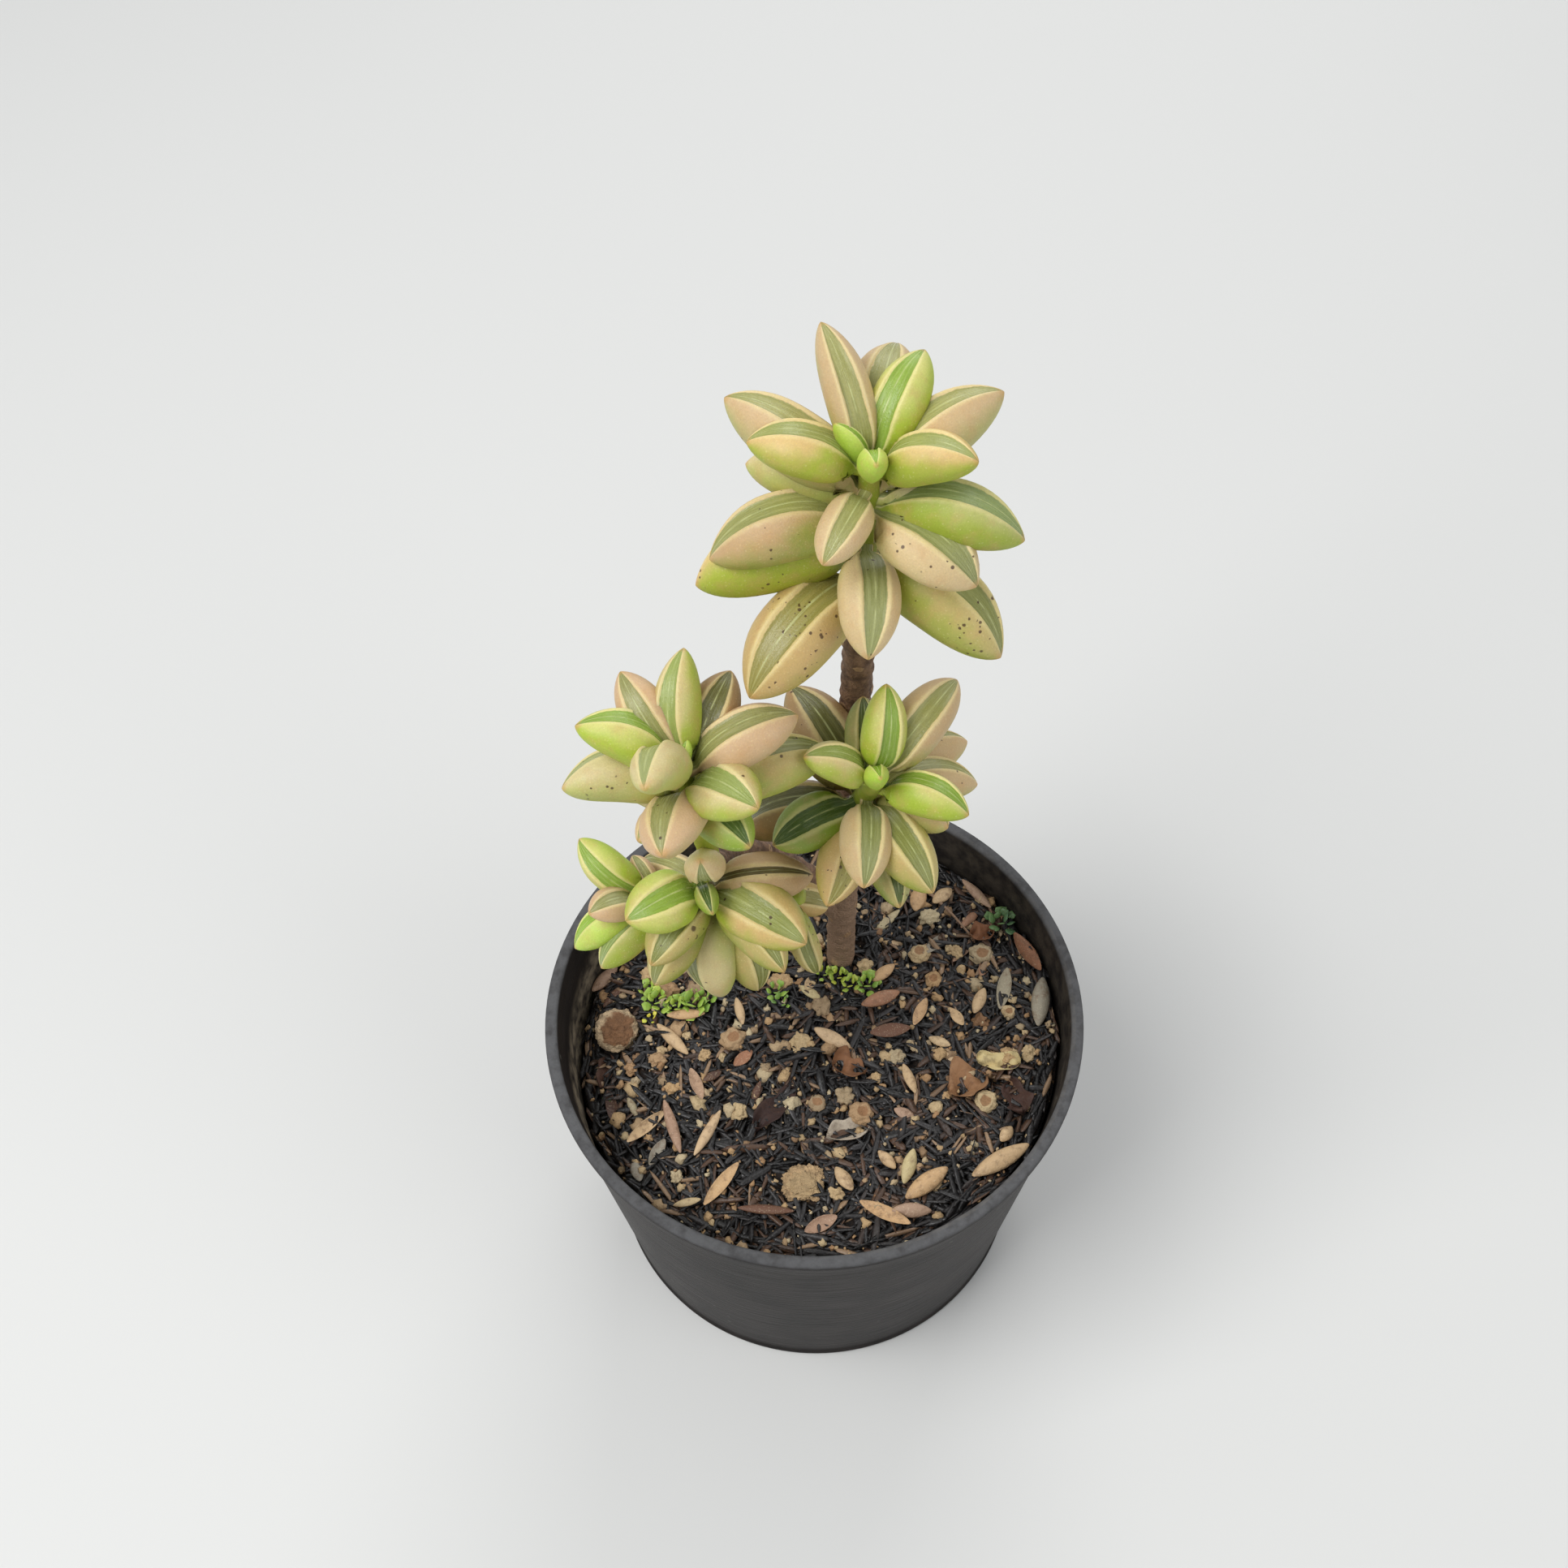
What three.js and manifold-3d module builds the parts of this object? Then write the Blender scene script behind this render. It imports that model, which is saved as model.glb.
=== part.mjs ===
// Potted variegated prayer pepper: a small branching succulent in a round nursery pot.
// Millimetres, +Z up. The origin is the middle of the pot's flat base, on the ground.
// The plant's front, where its fat leaves show best, faces -Y.
//
// The pieces are the pot, the soil with its topping of husks, two loose bits of bark on it,
// the woody stem, and four leafy heads. Each head is one body: a green shoot and the leaves
// that grow from it.

import * as THREE from 'three';
import { mergeVertices } from 'three/addons/utils/BufferGeometryUtils.js';
import Module from 'manifold-3d';

const wasm = await Module();
wasm.setup();

// Driving dimensions of the pot and the soil
const rimDiameter = 75;
const potHeight = 53.5;
const baseDiameter = 62;
const wall = 1.2;
const lipHeight = 1.5;
const lipReach = 0.5;
const footHeight = 1.2;
const footReach = 0.3;
const drainHoleRadius = 2.6;
const drainHoleCircle = 21;
const drainHoles = 6;
const soilLevel = 44.8;
const soilSlope = 0.055;
const washedFrom = 24;
const washedSlope = 0.4;
const soilRelief = 0.7;
const fit = 0.3;

// Driving dimensions of the plant
const trunkRadius = 1.85;
const branchRadius = 1.5;
const shootRadius = 1.3;
const rootDepth = 14;
const knotSpacing = 4.6;
const knotSwell = 0.14;
const stalkLength = 1.8;
const stalkRadius = 0.75;
const leafDepth = 0.47;
const leafWidth = 0.45;
const leafArch = 0.06;

const roundSides = 40;
const bladeShares = [0.07, 0.26, 0.5, 0.74, 0.92];
const up = new THREE.Vector3(0, 0, 1);

// The woody stem's centre lines: the trunk, the branch that holds the left and the low
// heads, its fork, and the branch of the right head. The radius is at each line's two ends.
const stemLines = [
  { points: [[4, 12.4, soilLevel - rootDepth], [4.2, 12.4, 60], [4.8, 12.3, 82], [5.5, 12.2, 113], [5.79, 11.37, 127.6]],
    radii: [trunkRadius * 1.05, trunkRadius * 0.95] },
  { points: [[4.3, 12.4, 58], [-2, 11, 72], [-8, 8, 81.5], [-11.3, 2.4, 88], [-12, -0.6, 91.2], [-12.17, -1.75, 93.4]],
    radii: [branchRadius * 1.1, branchRadius * 0.9] },
  { points: [[-1.5, 11, 71], [-5.8, 7.2, 75], [-9.6, 1.9, 79.4], [-10.48, 0.41, 82.35]],
    radii: [branchRadius, branchRadius * 0.85] },
  { points: [[5, 12.3, 82], [5.2, 7.5, 91], [5.52, 3.8, 97.55]],
    radii: [branchRadius * 1.1, branchRadius * 0.9] },
];

// Each shoot runs from its woody branch to its bud. A leaf is written as
// [height up the shoot, turn about +Z, rise, length, roll about its own length, width, arch],
// in mm and degrees. Width and arch are shares of its length.
const heads = {
  head_top: [
    { from: [5.8, 11.3, 128], to: [6.2, 10, 147.5], leaves: [
      [3, -133, -16, 18.8, 5, 0.53], [5.8, -33, -20, 18.2, 10, 0.52], [5, 130, -15, 13, 0],
      [6, 50, -15, 14, 0], [8.6, -90, -18, 13.8, 12, 0.56], [7.9, -168, -7, 18.5, -45],
      [9, 95, -5, 13, 0], [12.5, -168, -10, 17, -5, 0.5, 0.07], [13.8, -38, -13, 14.2, 0, 0.66],
      [13.5, 160, 8, 13.5, -45], [14.2, -15, -5, 16.5, 0, 0.45, 0.1], [15, -9, 0, 9.5, 15],
      [16.5, -116, -4, 11, 15, 0.56], [15.3, 23, 30, 17, 5, 0.4], [15.5, 157, 26, 17.5, 0, 0.4, 0],
      [15.5, 78, 22, 17, 0, 0.5, 0.12], [18, 115, 45, 16, 10, 0.34, 0.03],
      [18.5, -24, 28, 12.7, 2, 0.52], [18.8, 59, 35, 13.3, 5, 0.5],
      [19, 177, 16, 12.8, -10, 0.62, 0.04], [18, 165, 61, 7.5, 0, 0.3],
      [18.3, -86, 51, 8.5, 0, 0.46],
    ] },
  ],
  head_left: [
    { from: [-12.2, -1.8, 94], to: [-13.9, -6, 118], leaves: [
      [0.3, -96, 56, 10.5, 170, 0.55], [14, 150, -5, 11, 0], [15.5, -130, 20, 9.5, -20, 0.55],
      [16, 85, 0, 12, 0], [16.5, -52, 19, 11.5, 0, 0.6], [18, 17, 6, 16.5, 5],
      [18, -101, 27, 13.5, -25, 0.65], [20.5, -170, 14, 14, -40, 0.55, 0.1],
      [21.5, -42, 27, 12.2, -8, 0.72], [23, 63, 28, 12.8, -15, 0.55], [24, 129, 36, 13, 30, 0.5],
      [24, 88, 45, 13.7, 22, 0.42], [24, 173, 32, 13.2, -20, 0.58, 0.1], [24, 20, 18, 14, 5, 0.55],
      [24, -111, 45, 12.5, -30, 0.55, 0.14], [24, 60, 75, 5, 0, 0.5],
    ] },
  ],
  head_right: [
    { from: [5.6, 3.5, 98], to: [7.3, -3, 112], leaves: [
      [1, -107, -9, 14, 30, 0.5], [1, -72, -8, 14.5, 5], [1.8, -184, -29, 16, 0, 0.48],
      [2, 0, -25, 12, 0], [2.5, 127, 30, 16, 0, 0.56], [4, -155, -12, 12, 20, 0.64],
      [4, -34, 15, 12, 40], [5, 30, 4, 14.5, 20], [5.5, -58, -9, 14.5, 0, 0.52],
      [7.5, 10, -8, 13.5, 15], [7.5, -93, -5, 12.5, 15, 0.57], [8.5, 93, 37, 11, 0, 0.52],
      [12, -27, 8, 12, 15, 0.55], [14, -171, 40, 10.5, 0, 0.58], [14, 78, 60, 12, -30, 0.5],
      [14.5, 49, 17, 15.2, -20, 0.47], [13.5, -83, 58, 7.5, 0, 0.5],
    ] },
  ],
  head_low: [
    { from: [-10.6, 0.2, 83], to: [-13.6, -4.7, 93.6], leaves: [
      [3, -90, -45, 11, 0], [5, 150, -15, 12, 0], [5.5, -57, -53, 15, 10],
      [6, -128, -30, 14, 0, 0.5], [6.5, -86, -57, 15, -60, 0.7], [6.5, -54, 2, 15, -5],
      [7.3, -122, 1, 13, 15, 0.55], [9.2, -36, 3, 15, -20, 0.6], [11, 3, 2, 13.5, -15, 0.55],
      [10.6, -139, 19, 12, 25, 0.72], [11, -76, 30, 8, -10],
    ] },
    { from: [-11.4, -1, 85.6], to: [-21, -4, 88], leaves: [
      [6, -140, -18, 12.5, -15, 0.5], [8, -155, -15, 12, -20, 0.5], [8, 125, 25, 6.5, 0, 0.6],
      [9, 147, 28, 11.8, 50, 0.5], [9.5, -150, 25, 8.5, 0, 0.75],
    ] },
    { from: [-11.2, -0.8, 85.4], to: [-1, -3, 87.5], leaves: [
      [5.5, 16, -40, 10.5, -30, 0.5], [8.5, -55, -59, 12, -20, 0.36],
    ] },
  ],
};

// Colours as the photograph shows them, with roughness
const material = (color, roughness) =>
  new THREE.MeshStandardMaterial({ color, roughness, metalness: 0 });
const finishes = {
  pot: material('#3d3633', 0.55),
  soil: material('#3b2d24', 0.95),
  bark: material('#8a5a38', 0.9),
  stem: material('#59402f', 0.85),
  leaf: material('#c3bd72', 0.4),
};

// A closed mesh as a solid, and a solid as a mesh
function solidOf(geometry) {
  const bare = geometry.clone();
  bare.deleteAttribute('normal');
  bare.deleteAttribute('uv');
  const merged = mergeVertices(bare, 1e-4);
  return new wasm.Manifold(new wasm.Mesh({
    numProp: 3,
    vertProperties: new Float32Array(merged.attributes.position.array),
    triVerts: new Uint32Array(merged.index.array),
  }));
}

function geometryOf(solid) {
  const mesh = solid.getMesh();
  const geometry = new THREE.BufferGeometry();
  geometry.setAttribute('position', new THREE.BufferAttribute(mesh.vertProperties, 3));
  geometry.setIndex(new THREE.BufferAttribute(mesh.triVerts, 1));
  return geometry;
}

const joined = (solids) => solids.reduce((whole, next) => whole.add(next));

function largestBody(solid) {
  const bodies = solid.decompose();
  return bodies.reduce((best, next) => (next.volume() > best.volume() ? next : best));
}

function named(name, geometry, finish) {
  const mesh = new THREE.Mesh(geometry, finish);
  mesh.name = name;
  return mesh;
}

// Rings of points, each with the same count, closed into a skin with a point or a flat fan
// at each end. Seen from the first ring towards the last, a ring runs counter-clockwise.
function skinOf(rings, first, last) {
  const sides = rings[0].length;
  const points = [first, ...rings.flat(), last];
  const faces = [];
  const at = (ring, side) => 1 + ring * sides + (side % sides);
  for (let side = 0; side < sides; side++) {
    faces.push(0, at(0, side), at(0, side + 1));
    for (let ring = 0; ring + 1 < rings.length; ring++) {
      const [a, b] = [at(ring, side), at(ring, side + 1)];
      const [c, d] = [at(ring + 1, side), at(ring + 1, side + 1)];
      faces.push(a, d, b, a, c, d);
    }
    faces.push(at(rings.length - 1, side + 1), at(rings.length - 1, side), points.length - 1);
  }
  const geometry = new THREE.BufferGeometry();
  const array = new Float32Array(points.flatMap((p) => [p.x, p.y, p.z]));
  geometry.setAttribute('position', new THREE.BufferAttribute(array, 3));
  geometry.setIndex(faces);
  return geometry;
}

// A round rod along a smooth line, with its radius given as a function of the length
function rod(line, radiusAt, steps, sides) {
  const rings = [];
  const side = new THREE.Vector3(0, -1, 0);
  for (let step = 0; step <= steps; step++) {
    const share = step / steps;
    const centre = line.getPointAt(share);
    const along = line.getTangentAt(share);
    const across = new THREE.Vector3().crossVectors(along, side).normalize();
    const over = new THREE.Vector3().crossVectors(along, across);
    rings.push(Array.from({ length: sides }, (_, k) => {
      const angle = -2 * Math.PI * k / sides;
      return centre.clone()
        .addScaledVector(across, radiusAt(share) * Math.cos(angle))
        .addScaledVector(over, radiusAt(share) * Math.sin(angle));
    }));
  }
  return skinOf(rings, line.getPointAt(0), line.getPointAt(1));
}

const curveThrough = (points) =>
  new THREE.CatmullRomCurve3(points.map((p) => new THREE.Vector3(...p)));

// How full the leaf is at a share of its length: blunt at its stalk, pointed at its tip
function fullness(share, widest) {
  if (share < widest) return (1 - (1 - share / widest) ** 2.3) ** 0.55;
  return (1 - ((share - widest) / (1 - widest)) ** 2.1) ** 0.88;
}

// One leaf lying along +X with its window up: a boat folded up along its midrib. Two ridges
// bound the flat window on top, the sides bulge, and the folded midrib is the keel below.
function leafGeometry(length, width, arch) {
  const blade = length - stalkLength;
  const rings = [0.1, stalkLength * 0.9].map((x) => [90, 39, -13, -64, -116, -167, 141].map((a) => {
    const angle = a * Math.PI / 180;
    return new THREE.Vector3(x, stalkRadius * Math.cos(angle), stalkRadius * Math.sin(angle));
  }));
  for (const share of bladeShares) {
    const half = 0.5 * width * blade * fullness(share, 0.42);
    const top = 0.5 * leafDepth * blade * fullness(share, 0.45);
    const bottom = -0.5 * leafDepth * blade * fullness(share, 0.4);
    const tall = top - bottom;
    const ridge = (0.45 + 0.33 * Math.max(0, 1 - share / 0.42) ** 2) * half;
    const lift = arch * blade * Math.sin(Math.PI * share);
    const section = [
      [ridge, top], [half, top - 0.42 * tall], [0.66 * half, top - 0.82 * tall], [0, bottom],
      [-0.66 * half, top - 0.82 * tall], [-half, top - 0.42 * tall], [-ridge, top],
    ];
    rings.push(section.map(([y, z]) => new THREE.Vector3(stalkLength + share * blade, y, z + lift)));
  }
  // The stalk's ring starts at the same corner as the blade's
  for (const ring of rings.slice(0, 2)) ring.push(ring.shift());
  return skinOf(rings, new THREE.Vector3(0.1, 0, 0), new THREE.Vector3(length, 0, 0));
}

// Where a leaf sits: its stalk in the shoot, turned, raised and rolled
function leafPlace(base, turn, rise, roll) {
  const [t, r, q] = [turn, rise, roll].map(THREE.MathUtils.degToRad);
  const along = new THREE.Vector3(Math.cos(t) * Math.cos(r), Math.sin(t) * Math.cos(r), Math.sin(r));
  const level = new THREE.Vector3(-Math.cos(t) * Math.sin(r), -Math.sin(t) * Math.sin(r), Math.cos(r));
  const beside = new THREE.Vector3().crossVectors(level, along);
  const over = level.multiplyScalar(Math.cos(q)).addScaledVector(beside, Math.sin(q));
  const across = new THREE.Vector3().crossVectors(over, along);
  return new THREE.Matrix4().makeBasis(along, across, over).setPosition(base);
}

function headSolid(shoots) {
  const solids = [];
  for (const { from, to, leaves } of shoots) {
    const line = new THREE.LineCurve3(new THREE.Vector3(...from), new THREE.Vector3(...to));
    solids.push(solidOf(rod(line, (share) => shootRadius * (1 - 0.15 * share), 1, 8)));
    for (const [height, turn, rise, length, roll, width = leafWidth, arch = leafArch] of leaves) {
      const base = line.getPointAt(Math.min(1, height / line.getLength()));
      const leaf = leafGeometry(length, width, arch);
      solids.push(solidOf(leaf.applyMatrix4(leafPlace(base, turn, rise, roll))));
    }
  }
  return largestBody(joined(solids));
}

function stemSolid() {
  return joined(stemLines.map(({ points, radii }) => {
    const line = curveThrough(points);
    const length = line.getLength();
    const knots = (share) => 1 + knotSwell * Math.cos(2 * Math.PI * share * length / knotSpacing) ** 4;
    const radiusAt = (share) => THREE.MathUtils.lerp(radii[0], radii[1], share) * knots(share);
    return solidOf(rod(line, radiusAt, Math.ceil(length / knotSpacing * 2), 7));
  }));
}

// The pot: a thin tapered wall with a flat floor, a small foot bead and a proud lip
const outerRadiusAt = (z) =>
  THREE.MathUtils.lerp(baseDiameter / 2, rimDiameter / 2 - lipReach, z / potHeight);
const innerRadiusAt = (z) => outerRadiusAt(z) - wall;

function potSolid() {
  const lip = potHeight - lipHeight;
  const profile = [
    [0, 0], [baseDiameter / 2 + footReach - 0.4, 0], [baseDiameter / 2 + footReach, 0.4],
    [outerRadiusAt(footHeight) + footReach, footHeight], [outerRadiusAt(1.8), 1.8],
    [outerRadiusAt(lip), lip], [rimDiameter / 2 - 0.1, lip + 0.2],
    [rimDiameter / 2, lip + 0.5], [rimDiameter / 2, potHeight - 0.4],
    [rimDiameter / 2 - 0.4, potHeight], [innerRadiusAt(potHeight) + 0.3, potHeight],
    [innerRadiusAt(potHeight), potHeight - 0.4], [innerRadiusAt(wall), wall], [0, wall],
  ].map(([r, z]) => new THREE.Vector2(r, z));
  let solid = solidOf(new THREE.LatheGeometry(profile, roundSides).rotateX(Math.PI / 2));
  for (let hole = 0; hole < drainHoles; hole++) {
    const angle = 2 * Math.PI * (hole + 0.5) / drainHoles;
    const drill = new THREE.CylinderGeometry(drainHoleRadius, drainHoleRadius, 6, 12).rotateX(Math.PI / 2);
    drill.translate(drainHoleCircle * Math.cos(angle), drainHoleCircle * Math.sin(angle), 0);
    solid = solid.subtract(solidOf(drill));
  }
  return solid;
}

// The soil's surface height: higher on the right, washed down by the left wall, with a few
// gentle waves and finer ones on them
function soilHeight(x, y) {
  const washed = washedSlope * Math.max(0, -washedFrom - x);
  const slow = Math.sin(0.21 * x + 1.1) * Math.cos(0.17 * y - 0.4);
  const fine = Math.sin(0.73 * x - 0.5 * y) * Math.cos(0.66 * y + 0.4 * x + 2);
  return soilLevel + soilSlope * x - washed + soilRelief * (0.7 * slow + 0.45 * fine);
}

// Husks and chips lying on the soil, larger than life: their middle, length, width and turn
const chips = [
  [-20.3, -0.3, 6.7, 2.6, -47], [-18.5, 3.5, 5.3, 2.4, 0], [-23.5, -13.6, 6.8, 2.6, 40],
  [-19.8, -14.1, 8.4, 2.4, -72], [-14.8, -15.3, 7.8, 2.4, 63], [-12.8, -22.8, 7.5, 2.6, 51],
  [9.2, -27.5, 7.8, 2.6, -29], [15, -23.4, 7.3, 3, 36], [12.8, -27.2, 5.4, 2.8, 0],
  [25.1, -20.4, 9.2, 3.4, 29], [12.7, -21.1, 5.1, 2.6, 72], [2.6, -1.3, 6.1, 2.8, -32],
  [9.7, 4.8, 6, 2.8, 20], [10.9, -0.3, 5.9, 3, 9], [13.3, -7.8, 5.2, 2.4, -73],
  [23.8, 4.1, 4.6, 2.6, 67], [27.4, 5.7, 6.6, 2.8, 77], [32.6, 3.3, 8.3, 3, 76],
  [31, 11.4, 7.5, 3, -64], [0.7, -29.5, 5.4, 2.8, 26], [26, -5.5, 6.1, 3.4, -9],
  [-30.8, 11.2, 5.5, 2.6, 40], [4.8, -15.1, 6.3, 3, 14], [-5.6, -11.7, 8.5, 3, 49],
  [-11.6, -0.4, 3.6, 3.4, 20], [6.5, -12.6, 3.4, 3.2, 0], [4.9, -5.6, 4.8, 4.2, 15],
  [23.7, -11.6, 3.4, 3.2, 60], [24.6, 12, 4.2, 3.8, -40], [15.8, 21.5, 5, 2.6, 75],
  [21, -8.9, 4.6, 3.4, 30], [27.7, -11.2, 4.4, 3.2, -70], [15.6, 12.3, 3.4, 3.2, 10],
  [-12, 22, 7, 3, -25], [-22, 16, 7, 2.8, 50], [-2, 29, 6, 2.8, 10], [9, 26, 6, 2.6, 40],
];
const chipThickness = 1.4;

function chipSolid([x, y, length, width, turn]) {
  const shape = new THREE.SphereGeometry(0.5, 5, 3).scale(length, width, chipThickness * 1.6);
  shape.rotateZ(turn * Math.PI / 180).rotateX(0.18 * Math.sin(x)).rotateY(0.18 * Math.cos(y));
  return solidOf(shape.translate(x, y, soilHeight(x, y) + 0.15));
}

function soilBody() {
  const sectors = roundSides * 0.8;
  const radiusTop = innerRadiusAt(potHeight) - fit;
  const shares = [0.2, 0.4, 0.6, 0.78, 0.93];
  const ringAt = (radius, heightAt) => Array.from({ length: sectors }, (_, k) => {
    const angle = -2 * Math.PI * k / sectors;
    const [x, y] = [radius * Math.cos(angle), radius * Math.sin(angle)];
    return new THREE.Vector3(x, y, heightAt(x, y));
  });
  const bottom = wall + fit;
  const rings = [
    ringAt(radiusTop, () => bottom),
    ringAt(radiusTop, (x, y) => soilHeight(x, y) - 1.5),
    ...shares.slice().reverse().map((share) => ringAt(radiusTop * share, soilHeight)),
  ];
  return skinOf(rings, new THREE.Vector3(0, 0, bottom), new THREE.Vector3(0, 0, soilHeight(0, 0)));
}

// Two larger loose bits: a rounded nugget of bark and a round bark disc, each lying in the
// hollow that its own weight pressed in the soil
const looseBits = {
  bark_nugget: { at: [-28.6, 2], size: [7.6, 7.2, 5.4], sink: 1.2, turn: 25 },
  bark_disc: { at: [-1.6, -22.5], size: [7, 6.4, 2.6], sink: 0.6, turn: 0 },
};

function bitSolid({ at: [x, y], size, sink, turn }, grow) {
  const shape = new THREE.IcosahedronGeometry(0.5, 1).scale(...size.map((s) => s + 2 * grow));
  shape.rotateZ(turn * Math.PI / 180);
  return solidOf(shape.translate(x, y, soilHeight(x, y) + size[2] / 2 - sink));
}

function soilSolid() {
  const bits = Object.values(looseBits);
  const inside = [[0, wall + fit], [innerRadiusAt(wall + fit) - fit, wall + fit],
    [innerRadiusAt(potHeight) - fit, potHeight], [0, potHeight]];
  const room = new THREE.LatheGeometry(inside.map(([r, z]) => new THREE.Vector2(r, z)), roundSides);
  const clearOfBits = ([x, y]) => bits.every(({ at }) => Math.hypot(x - at[0], y - at[1]) > 7);
  let solid = joined([solidOf(soilBody()), ...chips.filter(clearOfBits).map(chipSolid)]);
  solid = solid.intersect(solidOf(room.rotateX(Math.PI / 2)));
  for (const bit of bits) solid = solid.subtract(bitSolid(bit, fit * 1.5));
  const trunk = stemLines[0];
  const foot = new THREE.Vector3(...trunk.points[0]);
  const hole = new THREE.CylinderGeometry(trunkRadius * 1.4, trunkRadius * 1.4, rootDepth * 2, 12);
  hole.rotateX(Math.PI / 2).translate(foot.x + 0.05, foot.y, foot.z - fit + rootDepth);
  return largestBody(solid.subtract(solidOf(hole)));
}

const plant = new THREE.Group();
plant.add(named('pot', geometryOf(potSolid()), finishes.pot));
plant.add(named('soil', geometryOf(soilSolid()), finishes.soil));
for (const [name, bit] of Object.entries(looseBits)) {
  plant.add(named(name, geometryOf(bitSolid(bit, 0)), finishes.bark));
}
plant.add(named('stem', geometryOf(stemSolid()), finishes.stem));
for (const [name, shoots] of Object.entries(heads)) {
  plant.add(named(name, geometryOf(headSolid(shoots)), finishes.leaf));
}

export default plant;
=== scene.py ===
# %% [markdown]
# This lesson dresses a small potted succulent, a variegated prayer pepper, around its packed
# CAD model. The CAD model gives the sizes and places. Here each piece gets a finer mesh and a
# material, so that it looks like the real plant in its black nursery pot.
#
# The frame is loaded first, and its meshes are kept by name, so that the box of a part can be read.

# %% The imported frame
import math
import random

import bmesh
import bpy
from mathutils import Euler, Matrix, Quaternion, Vector, noise


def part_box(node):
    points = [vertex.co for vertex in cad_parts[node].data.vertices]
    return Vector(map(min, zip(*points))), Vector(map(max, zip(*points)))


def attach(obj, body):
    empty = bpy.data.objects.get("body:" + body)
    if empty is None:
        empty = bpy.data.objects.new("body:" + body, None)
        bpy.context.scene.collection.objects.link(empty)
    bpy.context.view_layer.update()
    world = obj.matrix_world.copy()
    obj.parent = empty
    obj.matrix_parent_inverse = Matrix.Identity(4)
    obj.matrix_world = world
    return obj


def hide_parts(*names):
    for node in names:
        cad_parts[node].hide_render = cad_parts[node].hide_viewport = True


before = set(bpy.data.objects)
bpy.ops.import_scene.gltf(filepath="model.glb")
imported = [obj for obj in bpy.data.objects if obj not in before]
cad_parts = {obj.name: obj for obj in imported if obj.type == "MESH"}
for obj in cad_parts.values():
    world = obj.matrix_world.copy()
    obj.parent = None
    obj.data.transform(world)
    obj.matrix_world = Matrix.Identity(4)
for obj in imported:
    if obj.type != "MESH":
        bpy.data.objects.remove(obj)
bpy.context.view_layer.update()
scene = bpy.context.scene
MM = 0.001
print("nodes in the frame:", sorted(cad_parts))

# %% [markdown]
# The photograph looks down on the plant from the front, about 54 degrees below the horizon,
# and its picture leans by a little under two degrees. A camera that points along a vector is
# turned by to_track_quat, and the lean is one more turn about its own line of sight.

# %% The camera at the photograph's angle
def add(name, data):
    """A new object at the origin, linked to the scene."""
    made = bpy.data.objects.new(name, data)
    scene.collection.objects.link(made)
    return made


camera = add("camera", bpy.data.cameras.new("camera"))
scene.camera = camera
camera.location = Vector((-0.1, -119.5, 274.5)) * MM
line_of_sight = Vector((-0.0148, 0.5811, -0.8137))
lean = math.radians(-1.8)
camera.rotation_mode = "QUATERNION"
camera.rotation_quaternion = line_of_sight.to_track_quat("-Z", "Y") @ Quaternion((0, 0, 1), lean)
camera.data.sensor_width = 36
camera.data.lens = 41
camera.data.clip_start = 0.01
print("camera at", [round(x, 3) for x in camera.location])

# %% [markdown]
# Soft studio light is a pale world with a few large area lights: the bigger a light is for
# its distance, the softer its shadows. The key light hangs high on the left, as the daylight
# does in the photograph, and a weak one fills the right side.

# %% The studio
scene.view_settings.view_transform = "Standard"
world = bpy.data.worlds.new("studio")
world.use_nodes = True
world.node_tree.nodes["Background"].inputs["Color"].default_value = (0.93, 0.96, 1.0, 1.0)
world.node_tree.nodes["Background"].inputs["Strength"].default_value = 0.37
scene.world = world


def soft_light(name, place, size, power, aim=(0, 0, 0.07)):
    """A square area light at a place in metres, turned to the plant."""
    lamp = bpy.data.lights.new(name, "AREA")
    lamp.size = size
    lamp.energy = power
    light = add(name, lamp)
    light.location = place
    light.rotation_mode = "QUATERNION"
    light.rotation_quaternion = (Vector(aim) - Vector(place)).to_track_quat("-Z", "Y")


soft_light("key", (-0.42, -0.22, 0.75), 0.5, 5.1)
soft_light("fill", (0.6, -0.35, 0.45), 0.6, 1.7)
soft_light("back", (0.15, 0.65, 0.55), 0.5, 2.0)

# %% [markdown]
# Colours are chosen as they look on a screen, and shaders want linear values, so one
# small function turns the first into the second. A shader does its sums with nodes. Here a
# Field stands for the output of one node, and a sum of Fields places the Math node for it,
# so that a recipe reads like a formula.

# %% Fields, or shader sums that are written as sums
def paint(red, green, blue):
    """A screen colour, 0 to 1, as the linear colour that shaders use."""
    linear = (c / 12.92 if c < 0.04 else ((c + 0.055) / 1.055) ** 2.4 for c in (red, green, blue))
    return (*linear, 1.0)


def connect(node, inputs):
    """Sets the inputs of a node. Each is a Field, which is linked, or a plain value."""
    for name, value in inputs.items():
        if isinstance(value, Field):
            value.tree.links.new(value.socket, node.inputs[name])
        else:
            node.inputs[name].default_value = value


def put(tree, kind, inputs=None, output=0, **settings):
    """Places a shader node with its settings and inputs, and returns one of its outputs."""
    node = tree.nodes.new("ShaderNode" + kind)
    for name, value in settings.items():
        setattr(node, name, value)
    connect(node, inputs or {})
    return Field(node.outputs[output])


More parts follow.
